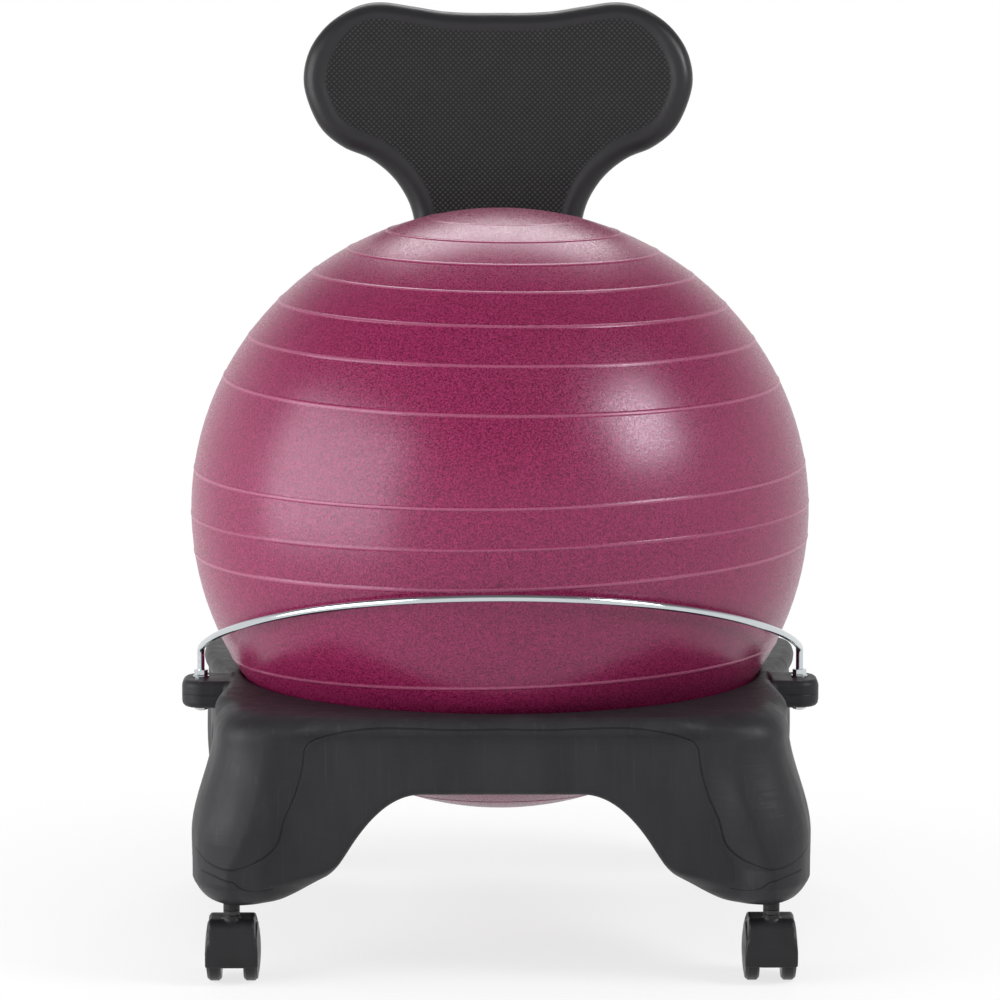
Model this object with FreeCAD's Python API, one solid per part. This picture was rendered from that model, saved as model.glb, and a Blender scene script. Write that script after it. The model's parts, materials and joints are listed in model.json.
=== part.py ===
"""Balance ball chair: an air-filled ball held in a wheeled, blow-moulded base with a backrest.

Millimetres, +Z up. The origin is on the floor, under the upright axis of the ball.
The front of the chair faces -Y, and +X is on the right of someone who looks at its front.
"""
import FreeCAD, Part
import math
import os

os.makedirs("parts", exist_ok=True)

V = FreeCAD.Vector
X_AXIS = V(1, 0, 0)
Y_AXIS = V(0, 1, 0)
Z_AXIS = V(0, 0, 1)

# How far a cutter runs past the surface that it opens
PAST = 5.0

# Ball: 52 cm size, slightly flattened by its own weight
BALL_RADIUS = 260.0
BALL_HALF_HEIGHT = 252.5
BALL_CENTRE_Z = 360.0
BALL_SKIN = 1.1
PLUG_RADIUS = 7.0
PLUG_LENGTH = 12.0
PLUG_NECK_WALL = 4.0
PLUG_NECK_HEIGHT = 10.0
PLUG_SUNK = 0.4

# Seat base: plan sizes at the rim
RIM_Z = 224.0
FRONT_HALF_WIDTH = 235.0
REAR_HALF_WIDTH = 257.0
HALF_DEPTH = 245.0
WAIST_PINCH = 7.0
PLAN_POWER = 9.0
RIM_ROUND = 9.0
CORNER_ROUND = 22.0

# Seat base: walls below the rim
BOWL_GAP = 0.5
THROAT_RADIUS = 186.0
WEB_RECESS = 7.0
END_WEB_HALF_WIDTH = 158.0
SIDE_WEB_HALF_WIDTH = 135.0
WEB_SPREAD = 30.0
LEG_BULGE_RUN = 34.0
END_FLARE = 14.0
SIDE_FLARE = 18.0
FLARE_TOP_Z = 205.0
FLARE_RUN = 85.0
WALL = 4.0

# Seat base: arch between the legs, half-widths and heights
ARCH_FLAT = 64.0
ARCH_TOP_Z = 160.0
ARCH_KNEE = 133.0
ARCH_KNEE_Z = 96.5
KNEE_BLEND = 12.0
FOOT_EDGE = 200.0
FOOT_Z = 63.3
FOOT_ROUND = 30.0
STEEP_WALL = 1.3
PLAN_STEPS = 48
LEVEL_SHARES = [0, 0.008, 0.027, 0.055, 0.1, 0.155, 0.215, 0.29, 0.385, 0.475, 0.57, 0.665, 0.755, 0.83,
                0.885, 0.93, 0.96, 0.98, 0.995, 1]

# Ears that hold the support bar
EAR_Y = -50.0
EAR_HALF_DEPTH = 25.0
EAR_REACH = 266.0
EAR_HEIGHT = 23.0
EAR_ROUND = 17.0
EAR_ROOT = 221.0
EAR_COUNTERBORE_RADIUS = 7.0
EAR_COUNTERBORE_DEPTH = 2.0
EAR_EDGE_ROUND = 4.0

# Support bar
BAR_RADIUS = 3.0
BAR_HALF_WIDTH = 255.0
BAR_REACH = 266.0
BAR_SIDE_Z = 231.3
BAR_RISE = 0.352
BAR_BEND = 9.0
BAR_END_Z = 196.0

# Backrest
BACK_THICKNESS = 26.0
BACK_BOTTOM_Z = 150.0
STEM_HALF_WIDTH = 75.0
NECK_Z = 560.0
BACK_EDGE_ROUND = 10.0
BACK_WALL = 4.5
WING_FORWARD = 9.0
HEAD_OUTLINE = [(78, 592), (86, 609), (100, 627), (131, 644.5), (156.5, 661.5), (171, 687),
                (174, 706), (168, 732), (148, 759), (126, 771.5), (104, 775.5), (52, 770)]
HEAD_HALF_WIDTH = 174.0
HEAD_SADDLE_Z = 765.0
STEM_FOOT_OUTLINE = [(40, 150), (62, 154.5), (73, 168), (75, 190)]
BACK_PROFILE = [(130, 245), (190, 245), (228, 245.4), (264, 252), (305, 261), (360, 265.5), (440, 266.5),
                (540, 266.5), (620, 268), (700, 272), (745, 276), (790, 281)]

# Backrest bolts
BOLT_RADIUS = 4.0
BOLT_X = 42.0
BOLT_HEIGHTS = [175.0, 205.0]
BOLT_HEAD_RADIUS = 8.0
BOLT_HEAD_HEIGHT = 4.5
BOLT_HEAD_ROUND = 2.5
BOLT_DRIVE_RADIUS = 2.9
BOLT_DRIVE_DEPTH = 2.6
BOLT_PLAY = 0.2
WASHER_THICKNESS = 1.6
WASHER_RADIUS = 10.0
SPOTFACE_RADIUS = 10.6
SPOTFACE_DEPTH = 1.0
SEAM_GAP = 0.1
INSERT_RADIUS = 6.5
INSERT_LENGTH = 22.0
INSERT_BOSS_RADIUS = 10.5

# Bar nuts
NUT_RADIUS = 5.77
NUT_HEIGHT = 5.0
FLANGE_RADIUS = 6.8
FLANGE_THICKNESS = 1.3
BAR_WASHER_RADIUS = 6.0
BAR_WASHER_THICKNESS = 1.2

# Casters: 50 mm hooded twin wheels
CASTER_X = 218.0
CASTER_Y = 215.0
WHEEL_RADIUS = 25.0
WHEEL_INNER_X = 9.1
DOME_X = 22.6
DOME_DROP = 2.6
CAP_RADIUS = 17.5
CAP_SEAT_X = 19.3
CASTER_TRAIL = 18.0
HOOD_RADIUS = 30.2
HOOD_SKIN = 2.6
HOOD_HALF_WIDTH = 19.5
HOOD_WEB_HALF = 8.8
HOOD_HUB_RADIUS = 9.0
HOOD_FRONT_ANGLE = 211.0
HOOD_REAR_ANGLE = 28.0
HOOD_NOSE_REACH = 28.5
HOOD_NOSE_HALF_WIDTH = 18.6
HOOD_NOSE_TOP = 30.0
HOOD_NOSE_ROUND = 9.0
AXLE_RADIUS = 3.0
RUNNING_FIT = 0.06
NECK_RADIUS = 6.7
NECK_TOP_Z = 58.5
PIVOT_RADIUS = 4.0
PIVOT_BOTTOM_Z = 24.0
SHANK_RADIUS = 5.5
SHANK_TOP_Z = 98.0
SOCKET_RADIUS = 8.0
SOCKET_TOP_Z = 104.0
SOCKET_FLANGE_RADIUS = 9.5
SOCKET_FLANGE = 1.2
SOCKET_BOSS_RADIUS = 14.0
GRIP_RING_Z = 84.0
GRIP_RING_HEIGHT = 7.0
GRIP_GROOVE = 1.0
SHANK_PLAY = 0.1

# Brake levers of the rear casters, from the axle
BRAKE_PIVOT_Y = 14.0
BRAKE_PIVOT_Z = 12.0
BRAKE_PIN_RADIUS = 1.5
BRAKE_SHOE_RADIUS = 28.0
BRAKE_SHOE_THICKNESS = 3.0
BRAKE_HALF_WIDTH = 17.5
BRAKE_TONGUE_HALF = 3.3
BRAKE_SLOT_HALF = 3.7
BRAKE_SLOT_Y = 8.5
BRAKE_SLOT_Z = -10.0
BRAKE_SHOE_ANGLES = (-6.0, 22.0)
BRAKE_TONGUE = [(12, 8.5), (28.5, 0), (28.5, 9), (15.5, 15.5)]
BRAKE_PEDAL = [(29.5, 1.0), (39.0, 3.2), (39.0, 6.2), (29.5, 5.5)]
BRAKE_EYE_RADIUS = 4.0

CASTERS = {"fl": (-1, -1), "fr": (1, -1), "rl": (-1, 1), "rr": (1, 1)}


def export(name, shape):
    shape.exportStep("parts/" + name + ".step")
    print(name, "solids", len(shape.Solids), "volume cm3", round(shape.Volume / 1000, 2), shape.isValid())


def smooth(t):
    t = min(max(t, 0.0), 1.0)
    return t * t * (3.0 - 2.0 * t)


def cylinder(radius, start, end):
    """Round bar from one point to another."""
    run = end - start
    return Part.makeCylinder(radius, run.Length, start, run)


def prism(points, direction):
    """Straight prism on a closed polygon."""
    return Part.Face(Part.makePolygon(points + [points[0]])).extrude(direction)


def hexagon(across_corners_radius, x, y, z, height, direction=Z_AXIS):
    """Hexagonal nut blank whose axis runs along Z or Y."""
    points = []
    for k in range(6):
        a = across_corners_radius * math.cos(math.radians(60 * k))
        b = across_corners_radius * math.sin(math.radians(60 * k))
        points.append(V(x + a, y + b, z) if direction == Z_AXIS else V(x + a, y, z + b))
    return prism(points, direction * height)


def turned(profile, centre, axis):
    """Solid of revolution from (radius, height) points about Z, or about X when axis is X."""
    if axis == Z_AXIS:
        points = [centre + V(r, 0, h) for r, h in profile]
    else:
        points = [centre + V(h, r, 0) for r, h in profile]
    face = Part.Face(Part.makePolygon(points + [points[0]]))
    return face.revolve(centre, axis, 360)


# Support bar

def bar_sweep():
    """Arc of the bar round the front of the ball, in a plane that rises towards the front."""
    centre = V(0, 0, BAR_SIDE_Z)
    front = V(0, -BAR_REACH, BAR_SIDE_Z + BAR_RISE * BAR_REACH)
    ellipse = Part.Ellipse(front, V(BAR_HALF_WIDTH, 0, BAR_SIDE_Z), centre)
    half_angle = math.acos(-EAR_Y / BAR_REACH) - BAR_BEND / BAR_REACH
    return Part.ArcOfEllipse(ellipse, -half_angle, half_angle)


def bar_knees():
    """Both ends of the sweep with the point where the bar turns down into its ear, +X side last."""
    sweep = bar_sweep()
    ends = []
    for parameter, forward in ((sweep.FirstParameter, -1), (sweep.LastParameter, 1)):
        tip = sweep.value(parameter)
        direction = V(*sweep.tangent(parameter)[0]) * forward
        direction.normalize()
        ends.append((tip, tip + direction * BAR_BEND))
    return sorted(ends, key=lambda end: end[1].x)


def bar_leg_places():
    return [V(knee.x, knee.y, 0) for tip, knee in bar_knees()]


def make_bar():
    """Bent rod: upright legs in the ears and one sweep round the front of the ball."""
    edges = [bar_sweep().toShape()]
    for tip, knee in bar_knees():
        drop = knee - Z_AXIS * BAR_BEND
        bend = Part.BezierCurve()
        bend.setPoles([tip, knee, drop])
        edges.append(bend.toShape())
        edges.append(Part.LineSegment(drop, V(drop.x, drop.y, BAR_END_Z)).toShape())
    path = Part.Wire(Part.__sortEdges__(edges))
    start = bar_leg_places()[0] + Z_AXIS * BAR_END_Z
    section = Part.Wire([Part.Circle(start, Z_AXIS, BAR_RADIUS).toShape()])
    return path.makePipeShell([section], True, True)


# Seat base

def ellipsoid_radius(z, grow):
    """Radius, at height z, of the ball's surface moved outwards by grow."""
    height = (z - BALL_CENTRE_Z) / (BALL_HALF_HEIGHT + grow)
    return (BALL_RADIUS + grow) * math.sqrt(max(0.0, 1.0 - height * height))


def flare(z):
    """Share of the full flare by which a leg stands out beyond the rim at height z."""
    return smooth((FLARE_TOP_Z - z) / FLARE_RUN)


def leg_share(across, z, web_half_width):
    """0 on the web between two legs and 1 on a leg; the web widens towards the feet."""
    drop = min(max(RIM_Z - 24.0 - z, 0.0) / 100.0, 1.0)
    return smooth((abs(across) - web_half_width - WEB_SPREAD * drop ** 2) / LEG_BULGE_RUN)


def recess(z):
    """Depth of the web behind the rim at height z."""
    return WEB_RECESS * smooth((RIM_Z - 9.0 - z) / 12.0)


def side_wall(y, z):
    """Distance of the side wall from the middle plane."""
    rear = smooth((y + 60.0) / 190.0)
    rim = FRONT_HALF_WIDTH + (REAR_HALF_WIDTH - FRONT_HALF_WIDTH) * rear
    pinch = WAIST_PINCH * math.exp(-((y - EAR_Y) / 60.0) ** 2)
    leg = leg_share(y, z, SIDE_WEB_HALF_WIDTH)
    return rim - pinch + leg * SIDE_FLARE * flare(z) * (1.0 - 0.85 * rear) - (1.0 - leg) * recess(z) * 0.7


def end_wall(x, y, z):
    """Distance of the front or rear wall from the middle plane; the rear web stays flush for the stem."""
    leg = leg_share(x, z, END_WEB_HALF_WIDTH)
    web = recess(z) if y < 0 else 0.0
    return HALF_DEPTH + leg * END_FLARE * flare(z) - (1.0 - leg) * web


def outer_radius(angle, z):
    """Distance from the axis to the outer wall, in a rounded-square plan."""
    c = math.cos(angle)
    s = math.sin(angle)
    r = HALF_DEPTH
    for _ in range(14):
        wide = side_wall(r * s, z)
        deep = end_wall(r * c, r * s, z)
        r = ((abs(c) / wide) ** PLAN_POWER + (abs(s) / deep) ** PLAN_POWER) ** (-1.0 / PLAN_POWER)
    return r


def arch_height(across):
    """Height of an arch's underside at a distance from the middle plane that it is centred on."""
    t = max(across - ARCH_FLAT, 0.0) / (ARCH_KNEE - ARCH_FLAT)
    upper = ARCH_TOP_Z - (ARCH_TOP_Z - ARCH_KNEE_Z) * t ** 2.1
    share = min(max(FOOT_EDGE - across, 0.0) / (FOOT_EDGE - ARCH_KNEE), 1.0)
    lower = FOOT_Z + (ARCH_KNEE_Z - FOOT_Z) * share ** 1.5
    lower += 1.5 * (ARCH_KNEE_Z - FOOT_Z) / (FOOT_EDGE - ARCH_KNEE) * max(ARCH_KNEE - across, 0.0)
    overlap = max(KNEE_BLEND - abs(upper - lower), 0.0)
    return max(upper, lower) + overlap ** 2 / (4.0 * KNEE_BLEND)


def rounding(depth, radius):
    """How far a rounded edge draws a wall in, at a depth below the edge's face."""
    if depth >= radius:
        return 0.0
    return radius - math.sqrt(max(0.0, radius ** 2 - (radius - depth) ** 2))


def rim_rounding(angle):
    """Radius of the rim's edge: small on the webs and large on the shoulders of the legs."""
    r = outer_radius(angle, RIM_Z)
    corner = min(leg_share(r * math.cos(angle), RIM_Z, SIDE_WEB_HALF_WIDTH),
                 leg_share(r * math.sin(angle), RIM_Z, SIDE_WEB_HALF_WIDTH))
    ledge = r - ellipsoid_radius(RIM_Z, BOWL_GAP)
    return min(RIM_ROUND + (CORNER_ROUND - RIM_ROUND) * corner, 0.6 * ledge)


def half_plan(z, low, high, inset):
    """Half of the base's plan at height z, closed by a straight line in the middle plane."""
    points = []
    for k in range(PLAN_STEPS + 1):
        angle = math.radians(-90.0 + 180.0 * k / PLAN_STEPS)
        shoulder = rim_rounding(angle)
        r = outer_radius(angle, z) - inset - rounding(high - z, shoulder) - rounding(z - low, FOOT_ROUND)
        x = 0.0 if k in (0, PLAN_STEPS) else r * math.cos(angle)
        points.append(V(x, r * math.sin(angle), z))
    curve = Part.BSplineCurve()
    curve.interpolate(Points=points, InitialTangent=X_AXIS, FinalTangent=-X_AXIS)
    return Part.Wire([curve.toShape(), Part.LineSegment(points[-1], points[0]).toShape()])


def arch_cutter(inset, along_x):
    """Space under an arch and beside it, as a prism along X or Y."""
    lift = inset * STEEP_WALL
    reach = HALF_DEPTH + 75.0
    low = FOOT_Z - 30.0
    foot = (reach - 30.0, FOOT_Z + lift)
    steps = 20

    def at(across, z):
        return V(-reach, across, z) if along_x else V(across, -reach, z)

    def line(start, end):
        return Part.LineSegment(at(*start), at(*end)).toShape()

    def curve(side):
        widths = [ARCH_FLAT + (FOOT_EDGE - ARCH_FLAT) * k / steps for k in range(steps + 1)]
        spline = Part.BSplineCurve()
        spline.interpolate(Points=[at(side * w, arch_height(w) + lift) for w in widths])
        return spline.toShape()
    edges = [line((-ARCH_FLAT, ARCH_TOP_Z + lift), (ARCH_FLAT, ARCH_TOP_Z + lift)),
             line((-foot[0], low), (foot[0], low))]
    for side in (1, -1):
        edges.append(curve(side))
        edges.append(line((side * FOOT_EDGE, foot[1]), (side * foot[0], foot[1])))
        edges.append(line((side * foot[0], foot[1]), (side * foot[0], low)))
    face = Part.Face(Part.Wire(Part.__sortEdges__(edges)))
    return face.extrude((X_AXIS if along_x else Y_AXIS) * (2 * reach))


def seat_cutter(inset):
    """Turned space in the middle of the base: a bowl for the ball over an upright throat."""
    throat = THROAT_RADIUS + inset
    grow = BOWL_GAP + inset
    steep = math.sqrt(1.0 - (throat / (BALL_RADIUS + grow)) ** 2)
    bowl_foot = BALL_CENTRE_Z - (BALL_HALF_HEIGHT + grow) * steep
    top = RIM_Z + 20.0
    heights = [bowl_foot, (bowl_foot + top) / 2, top]
    arc = [V(ellipsoid_radius(z, grow), 0, z) for z in heights]
    arc[0] = V(throat, 0, bowl_foot)
    edges = [Part.Arc(arc[0], arc[1], arc[2]).toShape(),
             Part.LineSegment(arc[2], V(0, 0, top)).toShape(),
             Part.LineSegment(V(0, 0, top), V(0, 0, 0)).toShape(),
             Part.LineSegment(V(0, 0, 0), V(throat, 0, 0)).toShape(),
             Part.LineSegment(V(throat, 0, 0), arc[0]).toShape()]
    return Part.Face(Part.Wire(edges)).revolve(V(0, 0, 0), Z_AXIS, 360)


def half_base(inset):
    """Half of the base, or of its hollow when inset is the wall's thickness."""
    low = FOOT_Z + inset * STEEP_WALL
    high = RIM_Z - inset
    plans = [half_plan(low + (high - low) * share, low, high, inset) for share in LEVEL_SHARES]
    body = Part.makeLoft(plans, True, False, False)
    body = body.cut(seat_cutter(inset))
    return body.cut(arch_cutter(inset, False)).cut(arch_cutter(inset, True))


def ear(side):
    """Lug on the side of the base, with a rounded end, that one end of the bar goes through."""
    lug = Part.makeBox(EAR_REACH - EAR_ROOT, 2 * EAR_HALF_DEPTH, EAR_HEIGHT,
                       V(EAR_ROOT, EAR_Y - EAR_HALF_DEPTH, RIM_Z - EAR_HEIGHT))
    outer_uprights = [e for e in lug.Edges if e.BoundBox.XMin > EAR_REACH - 1 and e.BoundBox.ZLength > 5]
    lug = lug.makeFillet(EAR_ROUND, outer_uprights)
    rims = [e for e in lug.Edges if e.BoundBox.ZLength < 0.1 and e.BoundBox.XMax > EAR_ROOT + 1]
    lug = lug.makeFillet(EAR_EDGE_ROUND, rims)
    return lug if side > 0 else lug.mirror(V(0, 0, 0), X_AXIS)


def bolt_places():
    return [(side * BOLT_X, z) for side in (-1, 1) for z in BOLT_HEIGHTS]


def caster_places():
    return [(sx * CASTER_X, sy * CASTER_Y) for sx, sy in CASTERS.values()]


def make_base():
    """Hollow, blow-moulded base with bosses for the sockets and inserts."""
    half = half_base(0.0)
    hollow = half_base(WALL)
    bosses = []
    for x, y in caster_places():
        bosses.append(cylinder(SOCKET_BOSS_RADIUS, V(x, y, FOOT_Z), V(x, y, SOCKET_TOP_Z + WALL)))
    for x, z in bolt_places():
        start = V(x, HALF_DEPTH, z)
        bosses.append(cylinder(INSERT_BOSS_RADIUS, start, start - Y_AXIS * (INSERT_LENGTH + WALL)))
    half = half.cut(hollow.cut(Part.makeCompound(bosses)))
    body = half.fuse(half.mirror(V(0, 0, 0), X_AXIS)).removeSplitter()
    body = body.fuse([ear(1), ear(-1)])
    cuts = []
    for x, y in caster_places():
        cuts.append(cylinder(SOCKET_RADIUS, V(x, y, FOOT_Z - PAST), V(x, y, SOCKET_TOP_Z)))
    for x, z in bolt_places():
        mouth = V(x, HALF_DEPTH + PAST, z)
        cuts.append(cylinder(INSERT_RADIUS, mouth, V(x, HALF_DEPTH - INSERT_LENGTH, z)))
    ear_bottom = RIM_Z - EAR_HEIGHT
    for leg in bar_leg_places():
        below = leg + Z_AXIS * (ear_bottom - PAST)
        cuts.append(cylinder(BAR_RADIUS + BOLT_PLAY, below, leg + Z_AXIS * (RIM_Z + PAST)))
        cuts.append(cylinder(EAR_COUNTERBORE_RADIUS, below, leg + Z_AXIS * (ear_bottom + EAR_COUNTERBORE_DEPTH)))
    return body.cut(Part.makeCompound(cuts))


# Backrest

def back_slab(inset):
    """Curved slab, wider than the panel, whose front follows the ball and cups the sitter's back."""
    reach = HEAD_HALF_WIDTH + 26.0
    wires = []
    for z, front in BACK_PROFILE:
        wing = WING_FORWARD * smooth((z - NECK_Z) / 110.0) * (reach / HEAD_HALF_WIDTH) ** 2
        rows = []
        for y in (front + inset, front + BACK_THICKNESS - inset):
            curve = Part.BezierCurve()
            curve.setPoles([V(-reach, y - wing, z), V(0, y + wing, z), V(reach, y - wing, z)])
            rows.append(curve.toShape())
        left = Part.LineSegment(rows[0].Vertexes[0].Point, rows[1].Vertexes[0].Point).toShape()
        right = Part.LineSegment(rows[0].Vertexes[1].Point, rows[1].Vertexes[1].Point).toShape()
        wires.append(Part.Wire(Part.__sortEdges__([rows[0], right, rows[1], left])))
    return Part.makeLoft(wires, True, False, False)


def back_outline():
    """Front outline of the panel: a stem with a rounded foot and a broad head with two lobes."""
    stem_steps = 5
    stem = []
    for k in range(1, stem_steps + 1):
        low = STEM_FOOT_OUTLINE[-1][1]
        stem.append((STEM_HALF_WIDTH, low + (NECK_Z - low) * k / stem_steps))
    half = STEM_FOOT_OUTLINE + stem + HEAD_OUTLINE
    points = [V(0, 0, BACK_BOTTOM_Z)] + [V(x, 0, z) for x, z in half]
    points += [V(0, 0, HEAD_SADDLE_Z)] + [V(-x, 0, z) for x, z in reversed(half)]
    curve = Part.BSplineCurve()
    curve.interpolate(Points=points, PeriodicFlag=True)
    return Part.Wire([curve.toShape()])


def make_backrest():
    """Blow-moulded panel, hollow above the bolted foot of its stem."""
    outline = Part.Face(back_outline())
    reach = HALF_DEPTH + 150.0
    solid = outline.extrude(Y_AXIS * reach).common(back_slab(0.0)).Solids[0]
    rims = [e for e in solid.Edges if e.BoundBox.ZLength > BACK_THICKNESS]
    solid = solid.makeFillet(BACK_EDGE_ROUND, rims)
    hollow = outline.makeOffset2D(-BACK_WALL).extrude(Y_AXIS * reach).common(back_slab(BACK_WALL))
    solid_foot_z = BOLT_HEIGHTS[1] + 30.0
    above_foot = Part.makeBox(2 * reach, reach, reach + HEAD_SADDLE_Z, V(-reach, 0, solid_foot_z))
    solid = solid.cut(hollow.common(above_foot))
    cuts = [Part.makeBox(2 * reach, HALF_DEPTH + SEAM_GAP, RIM_Z, V(-reach, 0, 0))]
    for x, z in bolt_places():
        seat = V(x, washer_seat_y(), z)
        cuts.append(cylinder(BOLT_RADIUS + BOLT_PLAY, V(x, HALF_DEPTH - PAST, z), seat))
        cuts.append(cylinder(SPOTFACE_RADIUS, seat, seat + Y_AXIS * (SPOTFACE_DEPTH + PAST)))
    return solid.cut(Part.makeCompound(cuts))


# Fasteners

def washer_seat_y():
    """Depth of the spotfaces behind the stem that the washers lie in."""
    return HALF_DEPTH + BACK_THICKNESS - SPOTFACE_DEPTH


def make_bolts():
    """Button-head bolts through the stem, their washers and the inserts that they screw into."""
    washers, bolts, inserts = [], [], []
    for x, z in bolt_places():
        seat = V(x, washer_seat_y(), z)
        under_head = seat + Y_AXIS * WASHER_THICKNESS
        washer = cylinder(WASHER_RADIUS, seat, under_head)
        washers.append(washer.cut(cylinder(BOLT_RADIUS + BOLT_PLAY, seat, under_head)))
        head_top = under_head + Y_AXIS * BOLT_HEAD_HEIGHT
        head = cylinder(BOLT_HEAD_RADIUS, under_head, head_top)
        outer_rim = [e for e in head.Edges if e.BoundBox.YMin > head_top.y - 0.1]
        head = head.makeFillet(BOLT_HEAD_ROUND, outer_rim)
        drive_floor = head_top.y - BOLT_DRIVE_DEPTH
        drive = hexagon(BOLT_DRIVE_RADIUS, x, drive_floor, z, BOLT_DRIVE_DEPTH + PAST, Y_AXIS)
        shank = cylinder(BOLT_RADIUS, under_head, V(x, HALF_DEPTH - INSERT_LENGTH + 3.0, z))
        bolts.append(head.cut(drive).fuse(shank))
        mouth = V(x, HALF_DEPTH, z)
        insert = cylinder(INSERT_RADIUS, mouth, mouth - Y_AXIS * INSERT_LENGTH)
        inserts.append(insert.cut(cylinder(BOLT_RADIUS, mouth, mouth - Y_AXIS * (INSERT_LENGTH - 2.0))))
    return bolts, washers, inserts


def make_bar_nuts():
    """Flange nuts on the ears, and a washer and a lock nut under each ear."""
    upper, washers, lower = [], [], []
    under = RIM_Z - EAR_HEIGHT + EAR_COUNTERBORE_DEPTH
    nut_top = under - BAR_WASHER_THICKNESS
    for foot in bar_leg_places():
        bore = cylinder(BAR_RADIUS, foot, foot + Z_AXIS * (RIM_Z + 50.0))
        hexagonal = hexagon(NUT_RADIUS, foot.x, foot.y, RIM_Z + FLANGE_THICKNESS, NUT_HEIGHT)
        flange = cylinder(FLANGE_RADIUS, foot + Z_AXIS * RIM_Z, foot + Z_AXIS * (RIM_Z + FLANGE_THICKNESS))
        upper.append(hexagonal.fuse(flange).cut(bore))
        washer = cylinder(BAR_WASHER_RADIUS, foot + Z_AXIS * nut_top, foot + Z_AXIS * under)
        washers.append(washer.cut(bore))
        lower.append(hexagon(NUT_RADIUS, foot.x, foot.y, nut_top - NUT_HEIGHT, NUT_HEIGHT).cut(bore))
    return upper, washers, lower


# Ball

def ball_arc(grow, from_axis):
    """Upright arc of the ball's profile, moved outwards by grow, from near the lower pole to the top one."""
    centre = V(0, 0, BALL_CENTRE_Z)
    wide = BALL_RADIUS + grow
    profile = Part.Ellipse(centre + X_AXIS * wide, centre + Z_AXIS * (BALL_HALF_HEIGHT + grow), centre)
    return Part.ArcOfEllipse(profile, -math.acos(from_axis / wide), math.pi / 2)


def make_ball():
    """Thin closed skin with a short neck at the lower pole, and the plug that closes the neck."""
    pole_z = BALL_CENTRE_Z - BALL_HALF_HEIGHT
    neck_top = pole_z + PLUG_NECK_HEIGHT
    outer = ball_arc(0.0, PLUG_RADIUS)
    inner = ball_arc(-BALL_SKIN, PLUG_RADIUS + PLUG_NECK_WALL)
    corners = [outer.value(outer.FirstParameter), V(PLUG_RADIUS, 0, neck_top),
               V(PLUG_RADIUS + PLUG_NECK_WALL, 0, neck_top), inner.value(inner.FirstParameter)]
    edges = [outer.toBSpline().toShape(), inner.toBSpline().toShape(),
             Part.LineSegment(outer.value(outer.LastParameter), inner.value(inner.LastParameter)).toShape()]
    for first, second in zip(corners, corners[1:]):
        edges.append(Part.LineSegment(first, second).toShape())
    skin = Part.Face(Part.Wire(Part.__sortEdges__(edges))).revolve(V(0, 0, 0), Z_AXIS, 360)
    plug = cylinder(PLUG_RADIUS, Z_AXIS * (pole_z + PLUG_SUNK), Z_AXIS * (pole_z + PLUG_LENGTH))
    return skin, plug


# Casters

def hood_sector(inner, outer, half_width, first, last):
    """Part of a ring round the wheel axle, between two angles, from the top of +Y to -Y."""
    a0 = math.radians(first)
    a1 = math.radians(last)
    middle = (a0 + a1) / 2

    def at(radius, angle):
        return V(-half_width, radius * math.cos(angle), radius * math.sin(angle))
    edges = [Part.Arc(at(outer, a0), at(outer, middle), at(outer, a1)).toShape(),
             Part.LineSegment(at(outer, a1), at(inner, a1)).toShape(),
             Part.Arc(at(inner, a1), at(inner, middle), at(inner, a0)).toShape(),
             Part.LineSegment(at(inner, a0), at(outer, a0)).toShape()]
    return Part.Face(Part.Wire(edges)).extrude(X_AXIS * (2 * half_width))


def brake_pivot():
    return V(0, BRAKE_PIVOT_Y, BRAKE_PIVOT_Z)


def hood_nose():
    """Boxy front of a hood round the pivot, clear of the wheels."""
    foot = 2.0
    nose = Part.makeBox(2 * HOOD_NOSE_HALF_WIDTH, HOOD_NOSE_REACH - foot, HOOD_NOSE_TOP - foot,
                        V(-HOOD_NOSE_HALF_WIDTH, -HOOD_NOSE_REACH, foot))
    front_top = [e for e in nose.Edges if e.BoundBox.YMax < 1 - HOOD_NOSE_REACH and e.BoundBox.ZMin > foot + 1]
    nose = nose.makeFillet(HOOD_NOSE_ROUND, front_top)
    past = X_AXIS * (HOOD_NOSE_HALF_WIDTH + PAST)
    return nose.cut(cylinder(HOOD_RADIUS - HOOD_SKIN, -past, past))


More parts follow.
